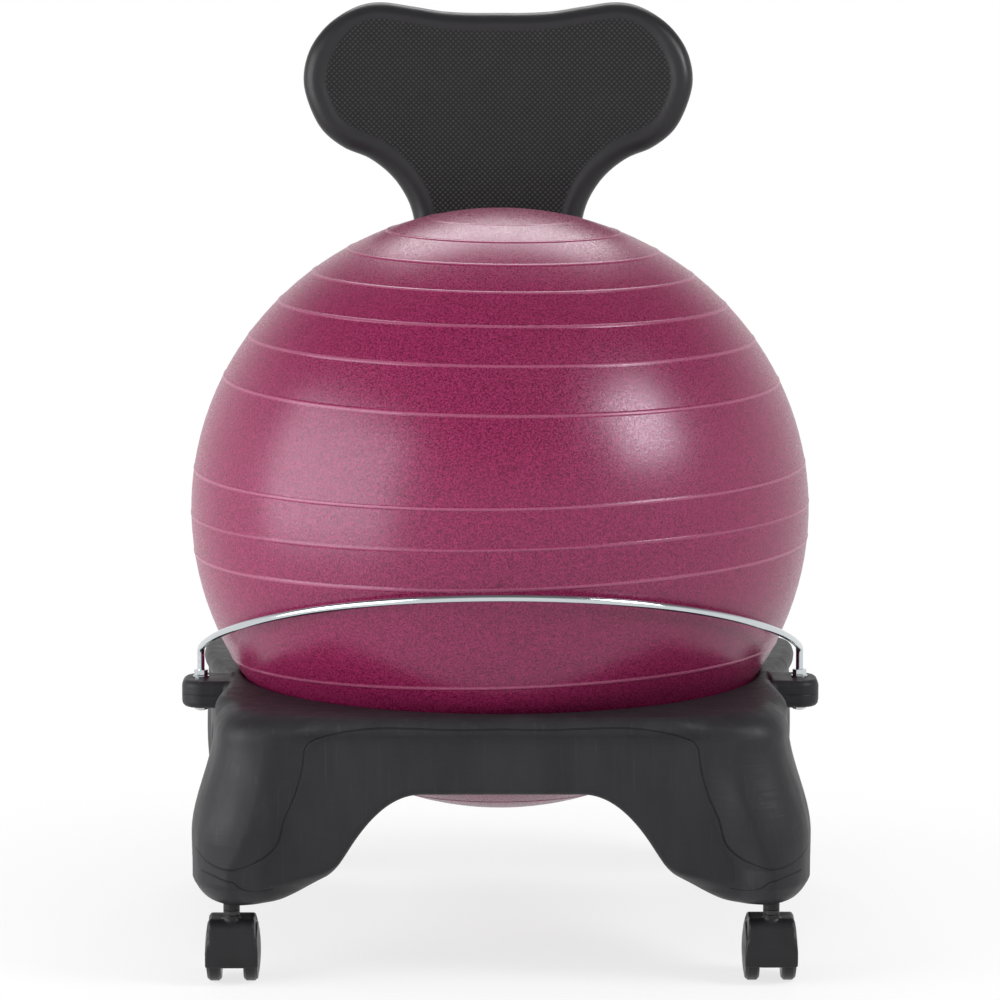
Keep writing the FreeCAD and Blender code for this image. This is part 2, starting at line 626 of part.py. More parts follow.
def make_hood(braked):
    """Hood about the axle: a fender over both wheels on a central web that holds the axle and the pivot."""
    across = HOOD_HALF_WIDTH + PAST
    fender = hood_sector(HOOD_RADIUS - HOOD_SKIN, HOOD_RADIUS, HOOD_HALF_WIDTH, HOOD_REAR_ANGLE,
                         HOOD_FRONT_ANGLE)
    web = hood_sector(HOOD_HUB_RADIUS - 4.0, HOOD_RADIUS - 1.0, HOOD_WEB_HALF, HOOD_REAR_ANGLE,
                      HOOD_FRONT_ANGLE)
    hub = cylinder(HOOD_HUB_RADIUS, V(-HOOD_WEB_HALF, 0, 0), V(HOOD_WEB_HALF, 0, 0))
    pivot = V(0, -CASTER_TRAIL, 0)
    neck = cylinder(NECK_RADIUS, pivot + Z_AXIS * HOOD_HUB_RADIUS, pivot + Z_AXIS * (NECK_TOP_Z - WHEEL_RADIUS))
    hood = fender.fuse([hood_nose(), web, hub, neck])
    bore_foot = pivot + Z_AXIS * (PIVOT_BOTTOM_Z - WHEEL_RADIUS - 1.0)
    hood = hood.cut(cylinder(PIVOT_RADIUS + RUNNING_FIT, bore_foot, pivot + Z_AXIS * NECK_TOP_Z))
    hood = hood.cut(cylinder(AXLE_RADIUS, V(-across, 0, 0), V(across, 0, 0)))
    if braked:
        slot = Part.makeBox(2 * BRAKE_SLOT_HALF, HOOD_RADIUS, HOOD_RADIUS - BRAKE_SLOT_Z,
                            V(-BRAKE_SLOT_HALF, BRAKE_SLOT_Y, BRAKE_SLOT_Z))
        slot = slot.common(cylinder(HOOD_RADIUS - HOOD_SKIN, V(-across, 0, 0), V(across, 0, 0)))
        hood = hood.cut(slot)
        pin_end = X_AXIS * across
        hood = hood.cut(cylinder(BRAKE_PIN_RADIUS, brake_pivot() - pin_end, brake_pivot() + pin_end))
    return hood.removeSplitter()


def dome_x(radius):
    """Distance from the caster's middle to the domed outer side of a wheel and its cap."""
    return DOME_X - DOME_DROP * (radius / WHEEL_RADIUS) ** 2


def make_wheel(side):
    """Wheel with rounded tread edges, a domed outer side, a running bore and a recess for its cap."""
    edge = 2.0
    bore = AXLE_RADIUS + RUNNING_FIT
    shoulder = WHEEL_RADIUS - edge
    profile = [(bore, WHEEL_INNER_X), (shoulder, WHEEL_INNER_X), (WHEEL_RADIUS, WHEEL_INNER_X + edge),
               (WHEEL_RADIUS, dome_x(WHEEL_RADIUS) - edge), (shoulder, dome_x(shoulder)),
               (CAP_RADIUS, dome_x(CAP_RADIUS)), (CAP_RADIUS, CAP_SEAT_X), (bore, CAP_SEAT_X)]
    return turned([(r, side * x) for r, x in profile], V(0, 0, 0), X_AXIS)


def make_cap(side):
    """Domed cap pressed into the wheel's recess."""
    steps = 8
    profile = [(0, CAP_SEAT_X), (CAP_RADIUS, CAP_SEAT_X)]
    for k in range(steps + 1):
        radius = CAP_RADIUS * (1.0 - k / steps)
        profile.append((radius, dome_x(radius)))
    return turned([(r, side * x) for r, x in profile], V(0, 0, 0), X_AXIS)


def make_axle():
    half = CAP_SEAT_X - 0.3
    return cylinder(AXLE_RADIUS, V(-half, 0, 0), V(half, 0, 0))


def make_lever():
    """Brake lever: a tongue on the pivot, a shoe over both treads and a pedal behind them."""
    pivot = brake_pivot()
    shoe = hood_sector(BRAKE_SHOE_RADIUS, BRAKE_SHOE_RADIUS + BRAKE_SHOE_THICKNESS, BRAKE_HALF_WIDTH,
                       *BRAKE_SHOE_ANGLES)
    tongue = prism([V(-BRAKE_TONGUE_HALF, y, z) for y, z in BRAKE_TONGUE], X_AXIS * (2 * BRAKE_TONGUE_HALF))
    eye = cylinder(BRAKE_EYE_RADIUS, pivot - X_AXIS * BRAKE_TONGUE_HALF, pivot + X_AXIS * BRAKE_TONGUE_HALF)
    pedal = prism([V(-BRAKE_HALF_WIDTH, y, z) for y, z in BRAKE_PEDAL], X_AXIS * (2 * BRAKE_HALF_WIDTH))
    lever = shoe.fuse([tongue, eye, pedal])
    reach = X_AXIS * BRAKE_HALF_WIDTH
    lever = lever.cut(cylinder(BRAKE_PIN_RADIUS + RUNNING_FIT, pivot - reach, pivot + reach))
    return lever.removeSplitter()


def make_brake_pin():
    half = X_AXIS * (HOOD_WEB_HALF - 0.2)
    return cylinder(BRAKE_PIN_RADIUS, brake_pivot() - half, brake_pivot() + half)


def make_stem():
    """Steel stem about its own axis: shank for the socket, collar, and pivot pin for the hood."""
    collar_bottom = NECK_TOP_Z + 0.3
    collar_top = FOOT_Z - SOCKET_FLANGE
    groove = SHANK_RADIUS - GRIP_GROOVE
    profile = [(0, PIVOT_BOTTOM_Z), (PIVOT_RADIUS, PIVOT_BOTTOM_Z), (PIVOT_RADIUS, collar_bottom),
               (NECK_RADIUS, collar_bottom), (NECK_RADIUS, collar_top), (SHANK_RADIUS, collar_top),
               (SHANK_RADIUS, GRIP_RING_Z), (groove, GRIP_RING_Z), (groove, GRIP_RING_Z + GRIP_RING_HEIGHT),
               (SHANK_RADIUS, GRIP_RING_Z + GRIP_RING_HEIGHT), (SHANK_RADIUS, SHANK_TOP_Z - 2.0),
               (SHANK_RADIUS - 2.0, SHANK_TOP_Z), (0, SHANK_TOP_Z)]
    return turned(profile, V(0, 0, 0), Z_AXIS)


def make_grip_ring():
    """Split spring ring in the stem's groove, just inside the socket's wall."""
    inner = SHANK_RADIUS - GRIP_GROOVE
    outer = SHANK_RADIUS + SHANK_PLAY
    top = GRIP_RING_Z + GRIP_RING_HEIGHT
    ring = turned([(inner, GRIP_RING_Z), (outer, GRIP_RING_Z), (outer, top), (inner, top)], V(0, 0, 0), Z_AXIS)
    split = Part.makeBox(outer + PAST, 2.0, GRIP_RING_HEIGHT + 2 * PAST, V(0, -1.0, GRIP_RING_Z - PAST))
    return ring.cut(split)


def make_socket():
    """Plastic socket with a flange under the foot."""
    bore = SHANK_RADIUS + SHANK_PLAY
    profile = [(bore, FOOT_Z - SOCKET_FLANGE), (SOCKET_FLANGE_RADIUS, FOOT_Z - SOCKET_FLANGE),
               (SOCKET_FLANGE_RADIUS, FOOT_Z), (SOCKET_RADIUS, FOOT_Z), (SOCKET_RADIUS, SOCKET_TOP_Z),
               (0, SOCKET_TOP_Z), (0, SOCKET_TOP_Z - 2.0), (bore, SOCKET_TOP_Z - 2.0)]
    return turned(profile, V(0, 0, 0), Z_AXIS)


def export_caster(name, x, y, braked):
    stem_place = V(x, y, 0)
    axle_place = V(x, y + CASTER_TRAIL, WHEEL_RADIUS)
    for node, shape in (("caster_socket_", make_socket()), ("caster_stem_", make_stem()),
                        ("grip_ring_", make_grip_ring())):
        export(node + name, shape.translated(stem_place))
    export("caster_hood_" + name, make_hood(braked).translated(axle_place))
    export("caster_axle_" + name, make_axle().translated(axle_place))
    for side, word in ((-1, "left"), (1, "right")):
        export("wheel_" + name + "_" + word, make_wheel(side).translated(axle_place))
        export("hub_cap_" + name + "_" + word, make_cap(side).translated(axle_place))
    if braked:
        export("brake_lever_" + name, make_lever().translated(axle_place))
        export("brake_pin_" + name, make_brake_pin().translated(axle_place))


export("base_frame", make_base())
export("backrest", make_backrest())
bolt_set, washer_set, insert_set = make_bolts()
export("backrest_bolts", Part.makeCompound(bolt_set))
export("backrest_washers", Part.makeCompound(washer_set))
export("backrest_inserts", Part.makeCompound(insert_set))
export("support_bar", make_bar())
upper_nuts, ear_washers, lower_nuts = make_bar_nuts()
export("bar_flange_nuts", Part.makeCompound(upper_nuts))
export("bar_washers", Part.makeCompound(ear_washers))
export("bar_lock_nuts", Part.makeCompound(lower_nuts))
ball_skin, ball_plug = make_ball()
export("ball_skin", ball_skin)
export("ball_plug", ball_plug)
for caster_name, (sign_x, sign_y) in CASTERS.items():
    export_caster(caster_name, sign_x * CASTER_X, sign_y * CASTER_Y, sign_y > 0)
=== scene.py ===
"""Visual model of the balance ball chair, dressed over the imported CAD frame.

Shape constants are in millimetres, as in the part's source, and every mesh is written in metres.
"""
import bpy
import json
import math
import numpy as np
import openvdb
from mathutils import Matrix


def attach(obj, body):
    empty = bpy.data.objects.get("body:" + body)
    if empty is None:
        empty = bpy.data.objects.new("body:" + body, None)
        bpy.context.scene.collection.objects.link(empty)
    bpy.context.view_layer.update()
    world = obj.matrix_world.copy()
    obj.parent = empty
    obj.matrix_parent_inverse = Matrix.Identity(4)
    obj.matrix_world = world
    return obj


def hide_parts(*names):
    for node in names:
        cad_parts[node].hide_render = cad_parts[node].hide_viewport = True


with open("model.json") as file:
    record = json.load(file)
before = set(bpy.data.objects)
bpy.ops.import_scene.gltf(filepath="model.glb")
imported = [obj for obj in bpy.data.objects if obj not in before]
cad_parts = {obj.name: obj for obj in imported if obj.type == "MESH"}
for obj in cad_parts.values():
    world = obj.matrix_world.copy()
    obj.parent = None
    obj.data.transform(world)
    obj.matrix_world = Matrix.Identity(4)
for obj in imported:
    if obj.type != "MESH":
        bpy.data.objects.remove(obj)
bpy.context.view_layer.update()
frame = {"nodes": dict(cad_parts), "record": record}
MM = 0.001

# Ball
BALL_RADIUS = 260.0
BALL_HALF_HEIGHT = 252.5
BALL_CENTRE_Z = 360.0
VALVE_HOLE_RADIUS = 7.0
RIB_HEIGHT = 0.48
RIB_HALF_WIDTH = 1.8
RIB_FULLNESS = 0.7
# Height of each rib over the ball's centre, its rise towards +X and towards +Y, and its strength
RIBS = [(244.5, -0.013, 0.005, 0.7), (234.2, -0.012, 0.015, 1.0), (218.7, -0.012, 0.015, 1.0),
        (199.3, -0.012, 0.015, 1.0), (175.0, -0.012, 0.015, 1.0), (146.3, -0.009, 0.015, 1.0),
        (112.3, -0.010, 0.028, 1.0), (39.5, 0.010, 0.020, 1.0), (3.5, 0.019, 0.005, 0.8),
        (-27.4, 0.0245, 0.010, 1.0), (-116.8, 0.028, -0.015, 1.0), (-147.0, 0.018, -0.010, 1.0),
        (-176.0, 0.012, -0.005, 1.0), (-199.0, 0.008, 0.0, 1.0), (-218.0, 0.006, 0.0, 1.0),
        (-233.0, 0.004, 0.0, 1.0)]
# Rings of points across each rib, in half widths from its crest
RIB_RINGS = (-1.8, -1.3, -1.0, -0.75, -0.5, -0.25, 0.0, 0.25, 0.5, 0.75, 1.0, 1.3, 1.8)
PLAIN_RINGS = 64
PLAIN_RING_CLEARANCE = 4.0
BALL_COLUMNS = 240

# Plan and walls of the seat base
RIM_Z = 224.0
FRONT_HALF_WIDTH = 235.0
REAR_HALF_WIDTH = 257.0
WIDENING_START_Y = -60.0
WIDENING_RUN = 190.0
HALF_DEPTH = 245.0
PLAN_POWER = 9.0
WAIST_PINCH = 7.0
WAIST_RUN = 60.0
WEB_RECESS = 7.0
SIDE_RECESS_SHARE = 0.7
RECESS_TOP_Z = 215.0
RECESS_RUN = 12.0
END_WEB_HALF_WIDTH = 158.0
SIDE_WEB_HALF_WIDTH = 135.0
WEB_SPREAD = 30.0
WEB_SPREAD_TOP_Z = 200.0
WEB_SPREAD_RUN = 100.0
LEG_BULGE_RUN = 34.0
END_FLARE = 14.0
SIDE_FLARE = 18.0
REAR_FLARE_LOSS = 0.85
FLARE_TOP_Z = 205.0
FLARE_RUN = 85.0

# Rim, bowl, arches and feet of the seat base
RIM_ROUND = 9.0
CORNER_ROUND = 22.0
LEAST_RIM_ROUND = 2.0
LEDGE_ROUND_SHARE = 0.6
BOWL_GAP = 0.5
BOWL_RIM_RADIUS = 219.7
BOWL_ROUND = 3.0
THROAT_RADIUS = 186.0
ARCH_FLAT = 64.0
ARCH_TOP_Z = 160.0
ARCH_POWER = 2.1
ARCH_KNEE = 133.0
ARCH_KNEE_Z = 96.5
KNEE_BLEND = 12.0
KNEE_RUN = 20.0
ARCH_ROUND = 6.0
ARCH_CROSSING_ROUND = 8.0
FOOT_EDGE = 200.0
FOOT_Z = 63.3
FOOT_POWER = 1.5
FOOT_ROUND = 30.0
FOOT_ROUND_TOP_Z = 105.0
FOOT_ROUND_RUN = 25.0

# Ears that hold the bar
EAR_Y = -50.0
EAR_HALF_DEPTH = 25.0
EAR_REACH = 266.0
EAR_INNER_REACH = 196.0
EAR_ROOT_REACH = 226.0
EAR_HEIGHT = 23.0
EAR_ROUND = 17.0
EAR_EDGE_ROUND = 5.0
EAR_FILLET = 2.5

# Mould lines on the front of the base: distance from the middle plane, and height
LEG_LINE = [(0, 215.5), (36, 214.5), (77, 216.4), (104, 216.5), (126, 213.4), (142, 209), (154, 203.5),
            (158, 197), (158.5, 189), (160, 179), (163.5, 166), (167, 156), (172, 145.5), (175, 138),
            (177, 128.5), (180, 119.5), (186, 113), (194, 107.5), (205, 103.8), (217.5, 101.5),
            (228.5, 103.5), (237, 107), (244.5, 113), (252, 121)]
FOOT_LINE = [(240, 98.3), (230, 96), (222, 93.5), (214.5, 91.8), (210.5, 87.3), (203.5, 83),
             (193.5, 81.4), (184, 83.5)]
MOULD_LINES = {"leg_line": LEG_LINE, "foot_line": FOOT_LINE}
MOULD_LINES_REAR_Y = -200.0
LINE_CORE = 0.25
LINE_EDGE = 1.0
CORNER_CUTS = 3
EAR_LINE_INNER_REACH = 236.0
EAR_LINE_MARGIN = 2.0
EAR_LINE_SHARE = 0.6
MARK_REACH = 9.0

# Support bar
BAR_RADIUS = 3.0
BAR_SIDES = 20
BAR_HALF_WIDTH = 255.0
BAR_REACH = 266.0
BAR_SIDE_Z = 231.3
BAR_RISE = 0.352
BAR_BEND = 5.5
BAR_END_Z = 196.0
BAR_ARC_STEPS = 60
BAR_BEND_STEPS = 12
BAR_LEG_STEPS = 6

# Outline of the backrest, as distance from the middle plane and height
BACK_BOTTOM_Z = 150.0
STEM_FOOT_OUTLINE = [(40, 150), (62, 154.5), (73, 168), (75, 190)]
STEM_HALF_WIDTH = 75.0
STEM_STEPS = 5
NECK_Z = 560.0
HEAD_OUTLINE = [(75.5, 581), (81.5, 600), (95, 620), (115, 636), (138, 646), (157, 661.5), (169, 685),
                (173.5, 707), (168, 732.5), (151.5, 755), (125.5, 771), (106, 774.5), (75, 770.5),
                (50, 766.5), (25, 765)]
HEAD_SADDLE_Z = 765.0
HEAD_HALF_WIDTH = 174.0
OUTLINE_STEPS = 8

# Side profile of the backrest, as height and depth of its front face
BACK_PROFILE = [(130, 245), (190, 245), (228, 245.4), (264, 252), (305, 261), (360, 265.5), (440, 266.5),
                (540, 266.5), (620, 268), (700, 272), (745, 276), (790, 281)]
PROFILE_SHIFTS = (-18, -9, 0, 9, 18)
BACK_THICKNESS = 26.0
BACK_EDGE_ROUND = 12.5
WING_FORWARD = 9.0
WING_RUN = 110.0
BORDER_WIDTH = 20.0
TOP_BORDER_WIDTH = 14.0
TOP_BORDER_Z = 725.0
TOP_BORDER_RUN = 35.0
BORDER_RISE = 1.6
BORDER_RUN = 9.0
BORDER_OVERLAP = 7.0
RECESS_START_Z = 300.0
RECESS_START_RUN = 60.0
NUB_PITCH = 4.7
NUB_FIELD_EDGE = 0.6

# Casters: a hood is drawn about its wheels' axle, and its neck and pivot have heights over the floor
CASTERS = {"fl": (-1, -1), "fr": (1, -1), "rl": (-1, 1), "rr": (1, 1)}
CASTER_X = 218.0
CASTER_Y = 215.0
CASTER_TRAIL = 18.0
WHEEL_RADIUS = 25.0
HOOD_RADIUS = 30.2
HOOD_SKIN = 2.6
HOOD_TOP_HALF_WIDTH = 18.6
HOOD_HALF_WIDTH = 21.4
HOOD_TAPER_Z = 2.0
HOOD_TAPER_RUN = 27.0
HOOD_SIDE_ROUND = 2.0
HOOD_LIP_ROUND = 0.8
HOOD_SHARP_ROUND = 0.5
HOOD_WEB_HALF = 8.8
HOOD_WEB_INSET = 1.0
HOOD_WEB_FILLET = 1.2
HOOD_HUB_RADIUS = 9.0
HOOD_HUB_FILLET = 0.3
HOOD_FRONT_ANGLE = 197.0
HOOD_REAR_ANGLE = 28.0
HOOD_NOSE_REACH = 28.5
HOOD_NOSE_REAR_Y = -2.0
HOOD_NOSE_TOP = 30.0
HOOD_NOSE_BOTTOM = 2.0
HOOD_NOSE_ROUND = 9.0
HOOD_NOSE_FILLET = 1.5
NECK_RADIUS = 6.7
NECK_TOP_Z = 58.5
NECK_ROUND = 0.6
NECK_FILLET = 2.0
PIVOT_RADIUS = 4.06
PIVOT_BOTTOM_Z = 23.0
BRAKE_SLOT_HALF = 3.7
BRAKE_SLOT_Y = 8.5
BRAKE_SLOT_Z = -10.0
HOOD_BOX_BOTTOM = -20.0
HOOD_BOX_MARGIN = 4.0

# Sockets of the casters
SOCKET_BORE = 5.6
SOCKET_RADIUS = 6.7
SOCKET_BOTTOM_Z = 62.1
SOCKET_TOP_Z = 104.0
SOCKET_BEVEL = 0.6
SOCKET_TOP_WALL = 2.0
SOCKET_PINHOLE = 0.1
SOCKET_SIDES = 40

# Sampling of the solid fields
BASE_CELL = 3.0
BASE_BOX_MARGIN = 8.0
BACK_CELL = 3.5
BACK_BOX_LOW = (-184.0, 236.0, 141.0)
BACK_BOX_HIGH = (184.0, 312.0, 786.0)
HOOD_CELL = 1.1
SLOPE_REACH = 0.2
LEAST_SLOPE = 0.05
PROJECTIONS = 4

# Colours and tones of the materials
BASE_DARK = (0.0180, 0.0172, 0.0192)
BASE_LIGHT = (0.0255, 0.0243, 0.0272)
# Pale colour of the reflection streaks painted on the base
BASE_STREAK_SHEEN = (0.050, 0.048, 0.052)
BASE_LINE = (0.006, 0.006, 0.007)
BACK_DARK = (0.010, 0.010, 0.011)
BACK_LIGHT = (0.014, 0.014, 0.015)
# Backrest: painted sheen on the border, painted shade in the pits and painted highlight on the nubs
BACK_BORDER_SHEEN = (0.019, 0.018, 0.020)
BACK_PIT_SHADE = (0.006, 0.006, 0.006)
BACK_NUB_HIGHLIGHT = (0.045, 0.045, 0.047)
PVC_DARK = (0.115, 0.002, 0.027)
PVC_LIGHT = (0.290, 0.019, 0.097)
# Painted highlight on the crests of the ball's ribs
PVC_CREST_HIGHLIGHT = (0.400, 0.110, 0.200)
PVC_GLOSS = (0.93, 0.88, 1.0)
SPECKLE_RANGE = (0.36, 0.64)
HOOD_DARK = (0.010, 0.010, 0.011)
HOOD_LIGHT = (0.015, 0.014, 0.016)
WHEEL_DARK = (0.012, 0.011, 0.013)
WHEEL_LIGHT = (0.017, 0.016, 0.018)
CHROME = (0.60, 0.64, 0.66)
ZINC = (0.66, 0.66, 0.67)
BLACK_STEEL = (0.05, 0.05, 0.05)
BRASS = (0.70, 0.52, 0.24)
METAL_SHADE = 0.92
METAL_WEAR = 0.04

# Studio, in metres; the ceiling darkens between two upward shares of a reflected ray
WHITE = (1.0, 1.0, 1.0)
SKY_FILL = 0.22
CEILING_SHADE = 0.80
CEILING_LOW = 0.12
CEILING_HIGH = 0.70
FLOOR_SIZE = 12.0
FLOOR_COLOUR = (0.92, 0.92, 0.92)
FLOOR_GLOW = 0.75
FLOOR_SHADOW_REACH = 0.30
FLOOR_WHITE_REACH = 0.75
LIGHT_TARGET = (0.0, 0.0, 0.42)
# Soft boxes: place, width and height in metres, and power in watts
SOFT_BOXES = {"key_right": ((1.83, -1.05, 1.72), 0.90, 1.05, 38.0),
              "key_left": ((-1.95, -0.90, 0.90), 2.2, 1.8, 54.0),
              "rear_top": ((0.0, 1.70, 2.25), 1.7, 0.9, 24.0),
              "front_top": ((0.2, -1.3, 2.5), 1.5, 1.0, 6.0)}
UNMIRRORED_BOX = "front_top"

# Camera that the photograph was taken with, as fitted to the ball and the casters
CAMERA_PLACE = (-0.023, -4.0, 0.92)
CAMERA_PITCH = 7.881
CAMERA_LENS = 172.31
CAMERA_SENSOR = 36.0
CAMERA_SIGHT = 50.0


# Solid fields: negative inside, in millimetres

def smooth(t):
    """Even step from 0 at t = 0 to 1 at t = 1."""
    t = np.clip(t, 0.0, 1.0)
    return t * t * (3.0 - 2.0 * t)


def both(a, b, radius):
    """Common part of two solids, with its edge rounded."""
    corner = np.hypot(np.maximum(a + radius, 0), np.maximum(b + radius, 0))
    return np.minimum(-radius, np.maximum(a, b)) + corner


def either(a, b, radius):
    """Two solids joined with a fillet."""
    corner = np.hypot(np.maximum(radius - a, 0), np.maximum(radius - b, 0))
    return np.maximum(radius, np.minimum(a, b)) - corner


def ellipsoid_field(x, y, z, grow):
    """The ball, grown all round."""
    wide = BALL_RADIUS + grow
    tall = BALL_HALF_HEIGHT + grow
    share = np.sqrt((x * x + y * y) / wide ** 2 + ((z - BALL_CENTRE_Z) / tall) ** 2)
    return (share - 1.0) * tall


def leg_share(across, z, web_half_width):
    """0 on the web between two legs and 1 on a leg; the web widens towards the feet."""
    drop = np.clip((WEB_SPREAD_TOP_Z - z) / WEB_SPREAD_RUN, 0.0, 1.0)
    return smooth((np.abs(across) - web_half_width - WEB_SPREAD * drop ** 2) / LEG_BULGE_RUN)


def recess(z):
    """How far the webs stand back from the rim at a height."""
    return WEB_RECESS * smooth((RECESS_TOP_Z - z) / RECESS_RUN)


def outer_field(x, y, z):
    """Outer walls of the base, in a rounded-square plan."""
    flare = smooth((FLARE_TOP_Z - z) / FLARE_RUN)
    rear = smooth((y - WIDENING_START_Y) / WIDENING_RUN)
    rim = FRONT_HALF_WIDTH + (REAR_HALF_WIDTH - FRONT_HALF_WIDTH) * rear
    rim = rim - WAIST_PINCH * np.exp(-((y - EAR_Y) / WAIST_RUN) ** 2)
    leg = leg_share(y, z, SIDE_WEB_HALF_WIDTH)
    side_flare = leg * SIDE_FLARE * flare * (1.0 - REAR_FLARE_LOSS * rear)
    wide = rim + side_flare - (1.0 - leg) * recess(z) * SIDE_RECESS_SHARE
    leg = leg_share(x, z, END_WEB_HALF_WIDTH)
    deep = HALF_DEPTH + leg * END_FLARE * flare - (1.0 - leg) * recess(z) * (y < 0)
    share = ((np.abs(x) / wide) ** PLAN_POWER + (np.abs(y) / deep) ** PLAN_POWER) ** (1.0 / PLAN_POWER)
    return (share - 1.0) * HALF_DEPTH


def rim_rounding(x, y):
    """Radius of the rim's edge: small on the webs and large on the shoulders of the legs."""
    corner = np.minimum(leg_share(x, RIM_Z, SIDE_WEB_HALF_WIDTH), leg_share(y, RIM_Z, SIDE_WEB_HALF_WIDTH))
    ledge = np.hypot(x, y) - BOWL_RIM_RADIUS
    largest = RIM_ROUND + (CORNER_ROUND - RIM_ROUND) * corner
    return np.clip(LEDGE_ROUND_SHARE * ledge, LEAST_RIM_ROUND, largest)


def arch_field(across, z):
    """Positive under an arch, whose height depends on the distance from the middle plane."""
    across = np.abs(across)
    upper_run = ARCH_KNEE - ARCH_FLAT
    lower_run = FOOT_EDGE - ARCH_KNEE
    lower_slope = FOOT_POWER * (ARCH_KNEE_Z - FOOT_Z) / lower_run
    t = np.maximum(across - ARCH_FLAT, 0.0) / upper_run
    upper = ARCH_TOP_Z - (ARCH_TOP_Z - ARCH_KNEE_Z) * t ** ARCH_POWER
    share = np.clip((FOOT_EDGE - across) / lower_run, 0.0, 1.0)
    inward = np.maximum(ARCH_KNEE - np.maximum(across, ARCH_FLAT), 0.0)
    lower = FOOT_Z + (ARCH_KNEE_Z - FOOT_Z) * share ** FOOT_POWER + lower_slope * inward
    overlap = np.maximum(KNEE_BLEND - np.abs(upper - lower), 0.0)
    height = np.maximum(upper, lower) + overlap ** 2 / (4.0 * KNEE_BLEND)
    upper_slope = ARCH_POWER * (ARCH_TOP_Z - ARCH_KNEE_Z) / upper_run
    upper_slope = upper_slope * np.minimum(t, 1.0) ** (ARCH_POWER - 1.0)
    blend = smooth((across - ARCH_KNEE + KNEE_RUN / 2) / KNEE_RUN)
    steep = upper_slope + (lower_slope * share ** (FOOT_POWER - 1.0) - upper_slope) * blend
    return (height - z) / np.sqrt(1.0 + steep ** 2)


def rectangle_field(across, along, half_across, half_along, radius):
    """Rounded rectangle in a plane."""
    a = np.abs(across) - half_across + radius
    b = np.abs(along) - half_along + radius
    return np.hypot(np.maximum(a, 0), np.maximum(b, 0)) + np.minimum(np.maximum(a, b), 0) - radius


def ears_field(x, y, z):
    """Both ears, from inside the side walls outwards."""
    half_across = EAR_REACH - EAR_INNER_REACH
    plan = rectangle_field(np.abs(x) - EAR_INNER_REACH, y - EAR_Y, half_across, EAR_HALF_DEPTH, EAR_ROUND)
    slab = np.abs(z - RIM_Z + EAR_HEIGHT / 2) - EAR_HEIGHT / 2
    return np.maximum(both(plan, slab, EAR_EDGE_ROUND), EAR_ROOT_REACH - np.abs(x))


def base_field(x, y, z):
    """The whole seat base, solid."""
    body = both(outer_field(x, y, z), z - RIM_Z, rim_rounding(x, y))
    throat = np.hypot(x, y) - THROAT_RADIUS
    bowl = ellipsoid_field(x, y, z, BOWL_GAP)
    body = both(body, -either(bowl, throat, BOWL_ROUND), BOWL_ROUND)
    under = both(arch_field(x, z), arch_field(y, z), ARCH_CROSSING_ROUND)
    edge = ARCH_ROUND + (FOOT_ROUND - ARCH_ROUND) * smooth((FOOT_ROUND_TOP_Z - z) / FOOT_ROUND_RUN)
    body = both(body, under, edge)
    return either(body, ears_field(x, y, z), EAR_FILLET)


def softened(line):
    """Open line with its corners cut, so that it bends smoothly."""
    line = np.array(line, float)
    for _ in range(CORNER_CUTS):
        first = 0.75 * line[:-1] + 0.25 * line[1:]
        second = 0.25 * line[:-1] + 0.75 * line[1:]
        cut = np.stack([first, second], axis=1).reshape(-1, 2)
        line = np.vstack([line[:1], cut[1:-1], line[-1:]])
    return line


def line_distance(across, z, line):
    """Signed distance from an open line in the front view, and 1 beside the line or 0 past its ends."""
    nearest = np.full(across.shape, np.inf)
    signed = np.zeros(across.shape)
    beside = np.zeros(across.shape)
    last = len(line) - 2
    overrun = 1.0
    for k in range(last + 1):
        (ax, az), (bx, bz) = line[k], line[k + 1]
        length = math.hypot(bx - ax, bz - az)
        ux, uz = (bx - ax) / length, (bz - az) / length
        along = (across - ax) * ux + (z - az) * uz
        offset = (across - ax) * uz - (z - az) * ux
        gap = np.hypot(along - np.clip(along, 0, length), offset)
        within = ((along > -overrun) | (k > 0)) & ((along < length + overrun) | (k < last))
        closer = gap < nearest
        nearest = np.where(closer, gap, nearest)
        signed = np.where(closer, np.where(offset < 0, -gap, gap), signed)
        beside = np.where(closer, within, beside)
    return signed, beside


# Meshes

def mesh_object(name, points, faces, normals=None, marks=None):
    """New object from points in millimetres, with marks as named values on its points."""
    mesh = bpy.data.meshes.new(name)
    corners = [tuple(p) for p in np.asarray(points) * MM]
    mesh.from_pydata(corners, [], [tuple(int(i) for i in face) for face in faces])
    mesh.update()
    mesh.polygons.foreach_set("use_smooth", [True] * len(mesh.polygons))
    for label, values in (marks or {}).items():
        layer = mesh.attributes.new(label, "FLOAT", "POINT")
        layer.data.foreach_set("value", np.asarray(values, np.float32))
    if normals is not None:
        mesh.normals_split_custom_set_from_vertices([tuple(n) for n in normals])
    piece = bpy.data.objects.new(name, mesh)
    bpy.context.collection.objects.link(piece)
    return piece


def gradient(field, points):
    """Slope of a field at each point."""
    slopes = []
    for axis in range(3):
        step = np.zeros(3)
        step[axis] = SLOPE_REACH
        ahead = points + step
        behind = points - step
        slopes.append((field(*ahead.T) - field(*behind.T)) / (2 * SLOPE_REACH))
    return np.stack(slopes, axis=1)


